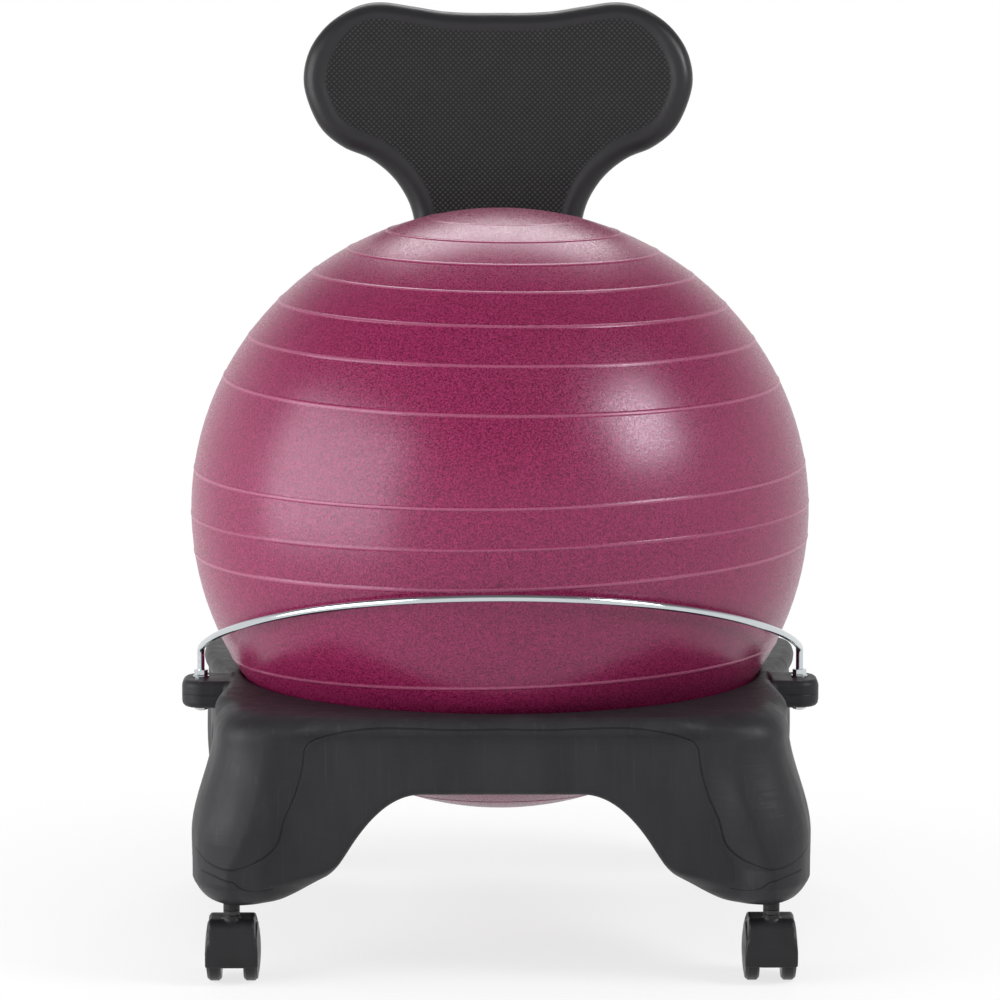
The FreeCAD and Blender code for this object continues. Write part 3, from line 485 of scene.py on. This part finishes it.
def skin(field, low, high, step):
    """Points, quads and normals of a field's surface, with the points moved onto the field itself."""
    axes = [np.arange(a, b + step, step) for a, b in zip(low, high)]
    cells = np.meshgrid(*axes, indexing="ij")
    band = 3.0 * step
    values = np.clip(field(*cells), -band, band).astype(np.float32)
    grid = openvdb.FloatGrid(background=band)
    grid.copyFromArray(values)
    points, quads = grid.convertToQuads(isovalue=0.0)
    points = points.astype(float) * step + np.array(low)
    for _ in range(PROJECTIONS):
        slope = gradient(field, points)
        length = np.maximum(np.sum(slope * slope, axis=1), LEAST_SLOPE)
        move = -slope * (field(*points.T) / length)[:, None]
        points = points + np.clip(move, -step, step)
    slope = gradient(field, points)
    normals = slope / np.linalg.norm(slope, axis=1)[:, None]
    first = points[quads[:, 1]] - points[quads[:, 0]]
    second = points[quads[:, 2]] - points[quads[:, 0]]
    facing = np.sum(np.cross(first, second) * normals[quads[:, 0]])
    if facing < 0:
        quads = quads[:, ::-1]
    return points, quads, normals


def band_faces(rings, columns, closed=False):
    """Quads between successive rings of points; closed joins the last ring to the first as well."""
    faces = []
    for ring in range(rings if closed else rings - 1):
        here = ring * columns
        there = (ring + 1) % rings * columns
        for k in range(columns):
            beside = (k + 1) % columns
            faces.append((here + k, here + beside, there + beside, there + k))
    return faces


def tube(name, path, radius, sides):
    """Round tube along a list of points, with flat ends; the path doesn't start along X."""
    path = np.asarray(path, float)
    tangents = np.gradient(path, axis=0)
    tangents /= np.linalg.norm(tangents, axis=1)[:, None]
    side = np.cross(tangents[0], [1.0, 0.0, 0.0])
    points = []
    for place, along in zip(path, tangents):
        side = side - along * np.dot(side, along)
        side /= np.linalg.norm(side)
        other = np.cross(along, side)
        for k in range(sides):
            turn = 2 * math.pi * k / sides
            points.append(place + radius * (math.cos(turn) * side + math.sin(turn) * other))
    faces = band_faces(len(path), sides)
    faces.append(tuple(range(sides - 1, -1, -1)))
    faces.append(tuple(range((len(path) - 1) * sides, len(path) * sides)))
    return mesh_object(name, points, faces)


# Materials

def new_material(name):
    material = bpy.data.materials.new(name)
    material.use_nodes = True
    return material, material.node_tree, material.node_tree.nodes["Principled BSDF"]


def add(tree, kind, **values):
    """New node, with its settings."""
    node = tree.nodes.new(kind)
    for key, value in values.items():
        setattr(node, key, value)
    return node


def feed(tree, target, value):
    """Sets an input to a number, or links it to another node's output."""
    if isinstance(value, (int, float)):
        target.default_value = value
    else:
        tree.links.new(value, target)


def maths(tree, operation, *values):
    node = add(tree, "ShaderNodeMath", operation=operation)
    for target, value in zip(node.inputs, values):
        feed(tree, target, value)
    return node.outputs["Value"]


def coordinates(tree):
    return add(tree, "ShaderNodeTexCoord").outputs["Object"]


def noise(tree, scale, detail=3.0, stretch=None):
    """Noise in object space; a low number in stretch draws it out along that axis."""
    node = add(tree, "ShaderNodeTexNoise")
    node.inputs["Scale"].default_value = scale
    node.inputs["Detail"].default_value = detail
    source = coordinates(tree)
    if stretch:
        mapping = add(tree, "ShaderNodeMapping")
        mapping.inputs["Scale"].default_value = stretch
        tree.links.new(source, mapping.inputs["Vector"])
        source = mapping.outputs["Vector"]
    tree.links.new(source, node.inputs["Vector"])
    return node.outputs["Fac"]


def spread(tree, value, low, high, source_low=0.3, source_high=0.7, soft=False):
    """Maps a value's range to another range, and holds it at the ends."""
    node = add(tree, "ShaderNodeMapRange", interpolation_type="SMOOTHSTEP" if soft else "LINEAR")
    ends = {"From Min": source_low, "From Max": source_high, "To Min": low, "To Max": high}
    for key, number in ends.items():
        node.inputs[key].default_value = number
    tree.links.new(value, node.inputs["Value"])
    return node.outputs["Result"]


def mix_colours(tree, share, first, second):
    """Blend of two colours, each a triple or another node's output."""
    node = add(tree, "ShaderNodeMix", data_type="RGBA")
    tree.links.new(share, node.inputs["Factor"])
    for key, colour in (("A", first), ("B", second)):
        if isinstance(colour, tuple):
            node.inputs[key].default_value = (*colour, 1.0)
        else:
            tree.links.new(colour, node.inputs[key])
    return node.outputs["Result"]


def bump(tree, height, distance, below=None):
    """Normal from a height, laid over the normal below it."""
    node = add(tree, "ShaderNodeBump")
    node.inputs["Distance"].default_value = distance
    tree.links.new(height, node.inputs["Height"])
    if below:
        tree.links.new(below, node.inputs["Normal"])
    return node.outputs["Normal"]


def mark(tree, name):
    """A mark that the mesh carries on its points."""
    return add(tree, "ShaderNodeAttribute", attribute_name=name).outputs["Fac"]


def plastic(name, dark, light, roughness, grain_scale, grain_depth, stretch=None, specular=0.28):
    """Moulded plastic with a mottled tone and a fine grain."""
    material, tree, shader = new_material(name)
    mottle = noise(tree, scale=40.0, detail=4.0, stretch=stretch)
    colour = mix_colours(tree, spread(tree, mottle, 0.0, 1.0), dark, light)
    tree.links.new(colour, shader.inputs["Base Color"])
    wear = noise(tree, scale=90.0, stretch=stretch)
    tree.links.new(spread(tree, wear, roughness - 0.05, roughness + 0.07), shader.inputs["Roughness"])
    grain = bump(tree, noise(tree, grain_scale, detail=2.0, stretch=stretch), grain_depth)
    tree.links.new(grain, shader.inputs["Normal"])
    shader.inputs["Specular IOR Level"].default_value = specular
    return material, tree, shader, colour, grain


def base_plastic():
    """Blow-moulded plastic with fine mould lines, and long pale streaks painted into its colour as a streaky
    reflection.
    """
    material, tree, shader, colour, grain = plastic(
        "base_plastic", BASE_DARK, BASE_LIGHT, roughness=0.46, grain_scale=420.0, grain_depth=0.00006,
        stretch=(1.0, 1.0, 0.3), specular=0.20)
    line = 0.0
    for name in (*MOULD_LINES, "ear_line"):
        away = maths(tree, "ABSOLUTE", mark(tree, name))
        near = spread(tree, away, 1.0, 0.0, LINE_CORE, LINE_EDGE, soft=True)
        near = maths(tree, "MULTIPLY", near, mark(tree, name + "_share"))
        line = maths(tree, "MAXIMUM", line, near)
    # Long pale vertical streaks, painted into the colour as reflections on the plastic
    streaks = noise(tree, scale=260.0, detail=5.0, stretch=(1.0, 1.0, 0.04))
    sheen_streaks = spread(tree, streaks, 0.0, 0.5, 0.60, 0.80)
    colour = mix_colours(tree, sheen_streaks, colour, BASE_STREAK_SHEEN)
    faint = maths(tree, "MULTIPLY", line, 0.75)
    colour = mix_colours(tree, faint, colour, BASE_LINE)
    tree.links.new(colour, shader.inputs["Base Color"])
    waves = noise(tree, scale=110.0, detail=2.0, stretch=(0.3, 0.3, 1.6))
    ripples = bump(tree, waves, distance=0.00035, below=grain)
    groove = bump(tree, maths(tree, "SUBTRACT", 1.0, line), distance=0.0006, below=ripples)
    tree.links.new(groove, shader.inputs["Normal"])
    return material


def back_plastic():
    """Moulded plastic whose front has a field of small nubs inside a smooth border; the nubs' tops carry a
    painted highlight, the pits between them painted shade, and the border a paler painted sheen.
    """
    material, tree, shader, colour, grain = plastic(
        "back_plastic", BACK_DARK, BACK_LIGHT, roughness=0.34, grain_scale=700.0, grain_depth=0.00004)
    place = add(tree, "ShaderNodeSeparateXYZ")
    tree.links.new(coordinates(tree), place.inputs[0])
    turns = 2 * math.pi / (NUB_PITCH * MM)
    angles = [maths(tree, "MULTIPLY", place.outputs[axis], turns) for axis in ("X", "Z")]
    lattice = maths(tree, "MULTIPLY", *[maths(tree, "COSINE", angle) for angle in angles])
    inside = spread(tree, mark(tree, "dotted"), 0.0, 1.0, -NUB_FIELD_EDGE, NUB_FIELD_EDGE, soft=True)
    nubs = maths(tree, "MULTIPLY", spread(tree, lattice, 0.0, 1.0, 0.25, 0.85, soft=True), inside)
    pit_shade = maths(tree, "MULTIPLY", spread(tree, lattice, 1.0, 0.0, -0.6, 0.1, soft=True), inside)
    # The border is painted paler than the nub field, as a sheen from the side lights
    colour = mix_colours(tree, inside, BACK_BORDER_SHEEN, colour)
    # Painted shade darkens the pits between the nubs
    colour = mix_colours(tree, pit_shade, colour, BACK_PIT_SHADE)
    # Painted highlight lightens the tops of the nubs
    colour = mix_colours(tree, nubs, colour, BACK_NUB_HIGHLIGHT)
    tree.links.new(colour, shader.inputs["Base Color"])
    tree.links.new(bump(tree, nubs, distance=0.0006, below=grain), shader.inputs["Normal"])
    return material


def metal(name, colour, roughness):
    """Metal with a faintly uneven tint and polish."""
    material, tree, shader = new_material(name)
    shader.inputs["Metallic"].default_value = 1.0
    tint = mix_colours(tree, noise(tree, scale=60.0), tuple(METAL_SHADE * c for c in colour), colour)
    tree.links.new(tint, shader.inputs["Base Color"])
    rough = spread(tree, noise(tree, scale=220.0), roughness - METAL_WEAR, roughness + METAL_WEAR)
    tree.links.new(rough, shader.inputs["Roughness"])
    return material


def pearl_pvc():
    """Glossy PVC with a fine pearly speckle, and a painted highlight that makes the crests of the ribs a
    little paler.
    """
    material, tree, shader = new_material("pearl_pvc")
    speckle = spread(tree, noise(tree, scale=760.0, detail=1.0), 0.0, 1.0, *SPECKLE_RANGE)
    colour = mix_colours(tree, speckle, PVC_DARK, PVC_LIGHT)
    # The crests of the ribs are painted paler, as a highlight where they catch the light
    crest_highlight = spread(tree, mark(tree, "crest_highlight"), 0.0, 0.55, 0.35, 1.0, soft=True)
    colour = mix_colours(tree, crest_highlight, colour, PVC_CREST_HIGHLIGHT)
    tree.links.new(colour, shader.inputs["Base Color"])
    rough = spread(tree, noise(tree, scale=700.0, detail=1.0), 0.22, 0.40, *SPECKLE_RANGE)
    tree.links.new(rough, shader.inputs["Roughness"])
    shader.inputs["Specular IOR Level"].default_value = 0.55
    shader.inputs["Specular Tint"].default_value = (*PVC_GLOSS, 1.0)
    pebbles = noise(tree, scale=620.0, detail=1.0)
    tree.links.new(bump(tree, pebbles, distance=0.00008), shader.inputs["Normal"])
    return material


SLOT_MATERIALS = {
    "moulded_base": base_plastic(),
    "moulded_back": back_plastic(),
    "ball_pvc": pearl_pvc(),
    "chromed_steel": metal("chrome", CHROME, roughness=0.11),
    "plated_steel": metal("zinc_plate", ZINC, roughness=0.26),
    "black_steel": metal("black_steel", BLACK_STEEL, roughness=0.35),
    "brass": metal("brass", BRASS, roughness=0.28),
    "caster_plastic": plastic("caster_black", HOOD_DARK, HOOD_LIGHT, roughness=0.40, grain_scale=900.0,
                              grain_depth=0.00003)[0],
    "wheel_plastic": plastic("wheel_black", WHEEL_DARK, WHEEL_LIGHT, roughness=0.34, grain_scale=900.0,
                             grain_depth=0.00003)[0]}


def dress(piece, body, slot, *nodes):
    """Material, body and replaced CAD nodes of a piece."""
    piece.data.materials.append(SLOT_MATERIALS[slot])
    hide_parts(*nodes)
    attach(piece, body)


# Pieces

def make_base():
    reach = HALF_DEPTH + END_FLARE + BASE_BOX_MARGIN
    low = (-EAR_REACH - BASE_BOX_MARGIN, -reach, FOOT_Z - BASE_BOX_MARGIN)
    high = (EAR_REACH + BASE_BOX_MARGIN, reach, RIM_Z + BASE_BOX_MARGIN)
    points, quads, normals = skin(base_field, low, high, BASE_CELL)
    x, y, z = points.T
    marks = {}
    ahead = 0.2
    front = smooth((-normals[:, 1] - ahead) / ahead) * (y < MOULD_LINES_REAR_Y)
    for name, line in MOULD_LINES.items():
        signed, beside = line_distance(np.abs(x), z, softened(line))
        marks[name] = np.clip(signed, -MARK_REACH, MARK_REACH)
        marks[name + "_share"] = beside * front
    ear = (np.abs(x) > EAR_LINE_INNER_REACH) & (np.abs(y - EAR_Y) < EAR_HALF_DEPTH + EAR_LINE_MARGIN)
    marks["ear_line"] = z - (RIM_Z - EAR_HEIGHT / 2)
    marks["ear_line_share"] = EAR_LINE_SHARE * ear
    piece = mesh_object("seat_base_shell", points, quads, normals, marks)
    dress(piece, "seat_base", "moulded_base", "base_frame")


def between(first, second, start, end, t):
    """Point at t on the straight way from first, reached at start, to second, reached at end."""
    return first * (end - t) / (end - start) + second * (t - start) / (end - start)


def back_outline():
    """Closed outline of the panel, as points along a smooth curve through its half outline and its mirror."""
    low = STEM_FOOT_OUTLINE[-1][1]
    stem = [(STEM_HALF_WIDTH, low + (NECK_Z - low) * k / STEM_STEPS) for k in range(1, STEM_STEPS + 1)]
    half = STEM_FOOT_OUTLINE + stem + HEAD_OUTLINE
    corners = [(0, BACK_BOTTOM_Z)] + half + [(0, HEAD_SADDLE_Z)] + [(-x, z) for x, z in reversed(half)]
    corners = np.array(corners, float)
    count = len(corners)
    points = []
    for k in range(count):
        # Centripetal Catmull-Rom span from one corner to the next
        before, here, after, beyond = (corners[(k + j) % count] for j in (-1, 0, 1, 2))
        spans = [np.linalg.norm(b - a) ** 0.5 for a, b in ((before, here), (here, after), (after, beyond))]
        t0, t1 = 0.0, spans[0]
        t2 = t1 + spans[1]
        t3 = t2 + spans[2]
        for t in np.linspace(t1, t2, OUTLINE_STEPS, endpoint=False):
            a1 = between(before, here, t0, t1, t)
            a2 = between(here, after, t1, t2, t)
            a3 = between(after, beyond, t2, t3, t)
            b1 = between(a1, a2, t0, t2, t)
            b2 = between(a2, a3, t1, t3, t)
            points.append(between(b1, b2, t1, t2, t))
    return np.array(points)


OUTLINE = back_outline()


def outline_field(x, z):
    """Signed distance from the panel's outline, negative inside."""
    shape = x.shape
    x = x.ravel()
    z = z.ravel()
    nearest = np.full(x.shape, np.inf)
    inside = np.zeros(x.shape, bool)
    for k in range(len(OUTLINE)):
        ax, az = OUTLINE[k - 1]
        bx, bz = OUTLINE[k]
        dx, dz = bx - ax, bz - az
        t = np.clip(((x - ax) * dx + (z - az) * dz) / (dx * dx + dz * dz), 0, 1)
        nearest = np.minimum(nearest, (x - ax - t * dx) ** 2 + (z - az - t * dz) ** 2)
        if dz != 0:
            inside ^= ((az > z) != (bz > z)) & (x < ax + dx * (z - az) / dz)
    distance = np.sqrt(nearest)
    return np.where(inside, -distance, distance).reshape(shape)


def back_front(x, z):
    """Depth of the panel's front face, whose sides curve forward round the sitter's back."""
    heights, fronts = np.array(BACK_PROFILE).T
    front = sum(np.interp(z + shift, heights, fronts) for shift in PROFILE_SHIFTS) / len(PROFILE_SHIFTS)
    wing = WING_FORWARD * smooth((z - NECK_Z) / WING_RUN)
    return front - wing * (x / HEAD_HALF_WIDTH) ** 2


def nub_field(edge, z):
    """Positive where the front has nubs, by the signed distance from the outline."""
    border = BORDER_WIDTH + (TOP_BORDER_WIDTH - BORDER_WIDTH) * smooth((z - TOP_BORDER_Z) / TOP_BORDER_RUN)
    return -edge - border


def back_field(x, y, z):
    """The whole panel, with its front set back inside the border."""
    edge = outline_field(x, z)
    front = back_front(x, z)
    sunk = smooth((nub_field(edge, z) + BORDER_OVERLAP) / BORDER_RUN)
    sunk = BORDER_RISE * sunk * smooth((z - RECESS_START_Z) / RECESS_START_RUN)
    slab = np.maximum(front + sunk - y, y - front - BACK_THICKNESS)
    return both(edge, slab, BACK_EDGE_ROUND)


def make_back():
    points, quads, normals = skin(back_field, BACK_BOX_LOW, BACK_BOX_HIGH, BACK_CELL)
    x, y, z = points.T
    nubs = np.where(normals[:, 1] < -0.5, nub_field(outline_field(x, z), z), -MARK_REACH)
    nubs = np.clip(nubs, -MARK_REACH, MARK_REACH)
    piece = mesh_object("backrest_shell", points, quads, normals, {"dotted": nubs})
    dress(piece, "seat_base", "moulded_back", "backrest")


def rib_tilts(height):
    """Rise towards +X and towards +Y of a ring round the ball, between those of its nearest ribs."""
    heights, rises_x, rises_y, _ = np.array(RIBS[::-1]).T
    return np.interp(height, heights, rises_x), np.interp(height, heights, rises_y)


def ball_levels():
    """Latitude and lift of each ring of points: fine rings across the ribs and plain ones between them."""
    levels = {}
    for height, _, _, strength in RIBS:
        latitude = math.asin(height / BALL_HALF_HEIGHT)
        for share in RIB_RINGS:
            lift = RIB_HEIGHT * strength * max(0.0, 1.0 - share ** 2) ** RIB_FULLNESS
            levels[latitude + share * RIB_HALF_WIDTH / BALL_RADIUS] = lift
    ribs = sorted(levels)
    lowest = -math.acos(VALVE_HOLE_RADIUS / BALL_RADIUS)
    for k in range(1, PLAIN_RINGS):
        latitude = lowest + (math.pi / 2 - lowest) * k / PLAIN_RINGS
        if min(abs(latitude - rib) for rib in ribs) > PLAIN_RING_CLEARANCE / BALL_RADIUS:
            levels[latitude] = 0.0
    levels[lowest] = 0.0
    return sorted(levels.items())


def make_ball():
    """Surface of revolution whose rings follow the ribs, which all lie a little aslant."""
    turn = 2 * math.pi * np.arange(BALL_COLUMNS) / BALL_COLUMNS
    levels = ball_levels()
    rings = []
    for latitude, lift in levels:
        middle = BALL_HALF_HEIGHT * math.sin(latitude)
        reach = BALL_RADIUS * math.cos(latitude)
        rise_x, rise_y = rib_tilts(middle)
        height = middle + reach * (rise_x * np.cos(turn) + rise_y * np.sin(turn))
        wide = BALL_RADIUS * np.sqrt(np.maximum(0.0, 1.0 - (height / BALL_HALF_HEIGHT) ** 2))
        ring = np.stack([wide * np.cos(turn), wide * np.sin(turn), height], axis=1)
        normal = ring / np.array([BALL_RADIUS ** 2, BALL_RADIUS ** 2, BALL_HALF_HEIGHT ** 2])
        normal /= np.linalg.norm(normal, axis=1)[:, None]
        rings.append(ring + lift * normal + np.array([0.0, 0.0, BALL_CENTRE_Z]))
    pole = np.array([[0.0, 0.0, BALL_CENTRE_Z + BALL_HALF_HEIGHT]])
    points = np.vstack(rings + [pole])
    faces = band_faces(len(rings), BALL_COLUMNS)
    top = (len(rings) - 1) * BALL_COLUMNS
    for k in range(BALL_COLUMNS):
        faces.append((top + k, top + (k + 1) % BALL_COLUMNS, len(points) - 1))
    # Each ring's share of the rib height drives the painted highlight along the crests
    crests = np.repeat([lift / RIB_HEIGHT for _, lift in levels], BALL_COLUMNS)
    piece = mesh_object("ball_shell", points, faces, marks={"crest_highlight": np.append(crests, 0.0)})
    dress(piece, "ball", "ball_pvc", "ball_skin")


def bar_path():
    """Points along the bar's axis, from one leg's end to the other."""
    half_angle = math.acos(-EAR_Y / BAR_REACH) - BAR_BEND / BAR_REACH

    def sweep(angle):
        forward = BAR_REACH * math.cos(angle)
        return np.array([BAR_HALF_WIDTH * math.sin(angle), -forward, BAR_SIDE_Z + BAR_RISE * forward])

    arc = [sweep(half_angle * k / BAR_ARC_STEPS) for k in range(-BAR_ARC_STEPS, BAR_ARC_STEPS + 1)]
    tip = arc[-1]
    small_turn = 0.0005
    heading = sweep(half_angle + small_turn) - tip
    knee = tip + heading / np.linalg.norm(heading) * BAR_BEND
    drop = knee - np.array([0.0, 0.0, BAR_BEND])
    bend_steps = np.linspace(0, 1, BAR_BEND_STEPS)[1:]
    bend = [(1 - t) ** 2 * tip + 2 * t * (1 - t) * knee + t * t * drop for t in bend_steps]
    leg = [np.array([drop[0], drop[1], z]) for z in np.linspace(drop[2], BAR_END_Z, BAR_LEG_STEPS)[1:]]
    right = bend + leg
    left = [p * np.array([-1, 1, 1]) for p in reversed(right)]
    return left + arc + right


def make_bar():
    piece = tube("bar_tube", bar_path(), BAR_RADIUS, BAR_SIDES)
    dress(piece, "seat_base", "chromed_steel", "support_bar")


def hood_field(braked):
    """Field of a hood about its axle, with rounded edges and fillets."""
    rear = math.radians(HOOD_REAR_ANGLE)
    front = math.radians(HOOD_FRONT_ANGLE)

    def field(x, y, z):
        radius = np.hypot(y, z)
        over_rear = y * math.sin(rear) - z * math.cos(rear)
        over_front = z * math.cos(front) - y * math.sin(front)
        sector = np.maximum(over_rear, over_front)
        inner = HOOD_RADIUS - HOOD_SKIN - radius
        taper = smooth((z - HOOD_TAPER_Z) / HOOD_TAPER_RUN)
        half_width = HOOD_HALF_WIDTH + (HOOD_TOP_HALF_WIDTH - HOOD_HALF_WIDTH) * taper
        ring = both(radius - HOOD_RADIUS, np.abs(x) - half_width, HOOD_SIDE_ROUND)
        ring = both(ring, inner, HOOD_SHARP_ROUND)
        ring = both(ring, sector, HOOD_LIP_ROUND)
        nose = both(-HOOD_NOSE_REACH - y, z - HOOD_NOSE_TOP, HOOD_NOSE_ROUND)
        nose = both(nose, np.abs(x) - HOOD_TOP_HALF_WIDTH, HOOD_SIDE_ROUND)
        nose = both(nose, y - HOOD_NOSE_REAR_Y, HOOD_SHARP_ROUND)
        nose = np.maximum(np.maximum(nose, HOOD_NOSE_BOTTOM - z), inner)
        ring = either(ring, nose, HOOD_NOSE_FILLET)
        disc = np.maximum(np.abs(x) - HOOD_WEB_HALF, radius - HOOD_RADIUS + HOOD_WEB_INSET)
        web = np.maximum(disc, sector)
        hub = both(radius - HOOD_HUB_RADIUS, np.abs(x) - HOOD_WEB_HALF, HOOD_LIP_ROUND)
        body = either(either(ring, web, HOOD_WEB_FILLET), hub, HOOD_HUB_FILLET)
        from_stem = np.hypot(x, y + CASTER_TRAIL)
        half_top = (NECK_TOP_Z - WHEEL_RADIUS) / 2
        neck = both(from_stem - NECK_RADIUS, np.abs(z - half_top) - half_top, NECK_ROUND)
        body = either(body, neck, NECK_FILLET)
        bore = np.maximum(from_stem - PIVOT_RADIUS, PIVOT_BOTTOM_Z - WHEEL_RADIUS - z)
        body = np.maximum(body, -bore)
        if braked:
            slot = np.maximum(np.abs(x) - BRAKE_SLOT_HALF, -inner)
            slot = np.maximum(slot, np.maximum(BRAKE_SLOT_Y - y, BRAKE_SLOT_Z - z))
            body = both(body, -slot, HOOD_SHARP_ROUND)
        return body
    return field


def make_hoods():
    reach = HOOD_RADIUS + HOOD_BOX_MARGIN
    wide = HOOD_HALF_WIDTH + HOOD_BOX_MARGIN
    low = (-wide, -reach, HOOD_BOX_BOTTOM)
    high = (wide, reach, reach + HOOD_BOX_MARGIN)
    for braked in (False, True):
        points, quads, normals = skin(hood_field(braked), low, high, HOOD_CELL)
        for name, (sign_x, sign_y) in CASTERS.items():
            if (sign_y > 0) == braked:
                place = np.array([sign_x * CASTER_X, sign_y * CASTER_Y + CASTER_TRAIL, WHEEL_RADIUS])
                piece = mesh_object("hood_shell_" + name, points + place, quads, normals)
                dress(piece, "caster_" + name, "caster_plastic", "caster_hood_" + name)


def make_sockets():
    """Slim sockets for the casters' stems, turned about each stem."""
    profile = [(SOCKET_BORE, SOCKET_BOTTOM_Z), (SOCKET_RADIUS - SOCKET_BEVEL, SOCKET_BOTTOM_Z),
               (SOCKET_RADIUS, SOCKET_BOTTOM_Z + SOCKET_BEVEL), (SOCKET_RADIUS, SOCKET_TOP_Z),
               (SOCKET_PINHOLE, SOCKET_TOP_Z), (SOCKET_PINHOLE, SOCKET_TOP_Z - SOCKET_TOP_WALL),
               (SOCKET_BORE, SOCKET_TOP_Z - SOCKET_TOP_WALL)]
    points = []
    for k in range(SOCKET_SIDES):
        turn = 2 * math.pi * k / SOCKET_SIDES
        points += [(radius * math.cos(turn), radius * math.sin(turn), z) for radius, z in profile]
    faces = band_faces(SOCKET_SIDES, len(profile), closed=True)
    for name, (sign_x, sign_y) in CASTERS.items():
        place = np.array([sign_x * CASTER_X, sign_y * CASTER_Y, 0.0])
        piece = mesh_object("socket_" + name, np.array(points) + place, faces)
        piece.data.polygons.foreach_set("use_smooth", [False] * len(faces))
        dress(piece, "seat_base", "caster_plastic", "caster_socket_" + name)


def dress_nodes():
    """Gives each CAD node that stays in view its procedural material."""
    slots = {entry["node"]: entry["material_slot"] for entry in frame["record"]["subparts"]}
    for name, node in frame["nodes"].items():
        for holder in node.material_slots:
            holder.material = SLOT_MATERIALS[slots[name]]


# Stage

def seen_directly(tree):
    """Light path node, and 1 for rays that show the background directly, mirrored or through glass."""
    rays = add(tree, "ShaderNodeLightPath")
    seen = maths(tree, "MAXIMUM", rays.outputs["Is Camera Ray"], rays.outputs["Is Glossy Ray"])
    return rays, maths(tree, "MAXIMUM", seen, rays.outputs["Is Transmission Ray"])


def make_world():
    """White round the horizon, softer light from all sides, and a darker ceiling in reflections."""
    world = bpy.data.worlds.new("studio")
    bpy.context.scene.world = world
    world.use_nodes = True
    tree = world.node_tree
    background = tree.nodes["Background"]
    background.inputs["Color"].default_value = (*WHITE, 1.0)
    rays, seen = seen_directly(tree)
    heading = add(tree, "ShaderNodeSeparateXYZ")
    tree.links.new(add(tree, "ShaderNodeTexCoord").outputs["Generated"], heading.inputs[0])
    overhead = spread(tree, heading.outputs["Z"], 0.0, CEILING_SHADE, CEILING_LOW, CEILING_HIGH, soft=True)
    shade = maths(tree, "MULTIPLY", overhead, rays.outputs["Is Glossy Ray"])
    mirrored = maths(tree, "SUBTRACT", 1.0, shade)
    strength = add(tree, "ShaderNodeMix")
    tree.links.new(seen, strength.inputs["Factor"])
    strength.inputs["A"].default_value = SKY_FILL
    tree.links.new(mirrored, strength.inputs["B"])
    tree.links.new(strength.outputs["Result"], background.inputs["Strength"])


def make_floor():
    """Pale floor that keeps the object's shadow and turns into the white background further out."""
    bpy.ops.mesh.primitive_plane_add(size=FLOOR_SIZE, location=(0, 0, 0))
    floor = bpy.context.object
    floor.name = "floor"
    material, tree, shader = new_material("pale_floor")
    tree.nodes.remove(shader)
    matt = add(tree, "ShaderNodeBsdfDiffuse")
    matt.inputs["Color"].default_value = (*FLOOR_COLOUR, 1.0)
    white = add(tree, "ShaderNodeEmission")
    distance = add(tree, "ShaderNodeVectorMath", operation="LENGTH")
    tree.links.new(coordinates(tree), distance.inputs[0])
    _, seen = seen_directly(tree)
    fade = spread(tree, distance.outputs["Value"], FLOOR_GLOW, 1.0, FLOOR_SHADOW_REACH, FLOOR_WHITE_REACH,
                  soft=True)
    blend = add(tree, "ShaderNodeMixShader")
    feed(tree, blend.inputs["Fac"], maths(tree, "MULTIPLY", fade, seen))
    tree.links.new(matt.outputs[0], blend.inputs[1])
    tree.links.new(white.outputs[0], blend.inputs[2])
    tree.links.new(blend.outputs[0], tree.nodes["Material Output"].inputs["Surface"])
    floor.data.materials.append(material)


def area_light(name, place, width, height, power):
    """Soft box turned towards the middle of the object."""
    data = bpy.data.lights.new(name, "AREA")
    data.energy = power
    data.shape = "RECTANGLE"
    data.size = width
    data.size_y = height
    lamp = bpy.data.objects.new(name, data)
    bpy.context.collection.objects.link(lamp)
    lamp.location = place
    heading = np.array(LIGHT_TARGET) - np.array(place)
    yaw = math.atan2(-heading[0], heading[1])
    pitch = math.atan2(heading[2], math.hypot(heading[0], heading[1]))
    lamp.rotation_euler = (math.pi / 2 + pitch, 0.0, yaw)
    return lamp


def make_lights():
    """Soft boxes right and left of the front, and weaker ones behind and over the object."""
    for name, (place, width, height, power) in SOFT_BOXES.items():
        lamp = area_light(name, place, width, height, power)
        lamp.visible_glossy = name != UNMIRRORED_BOX


def make_camera():
    data = bpy.data.cameras.new("camera")
    data.lens = CAMERA_LENS
    data.sensor_width = CAMERA_SENSOR
    data.clip_end = CAMERA_SIGHT
    camera = bpy.data.objects.new("camera", data)
    bpy.context.collection.objects.link(camera)
    camera.location = CAMERA_PLACE
    yaw = math.atan2(CAMERA_PLACE[0], -CAMERA_PLACE[1])
    camera.rotation_euler = (math.radians(90.0 - CAMERA_PITCH), 0.0, yaw)
    bpy.context.scene.camera = camera


bpy.context.scene.view_settings.view_transform = "Standard"
make_camera()
make_world()
make_floor()
make_lights()
make_base()
make_back()
make_ball()
make_bar()
make_hoods()
make_sockets()
dress_nodes()
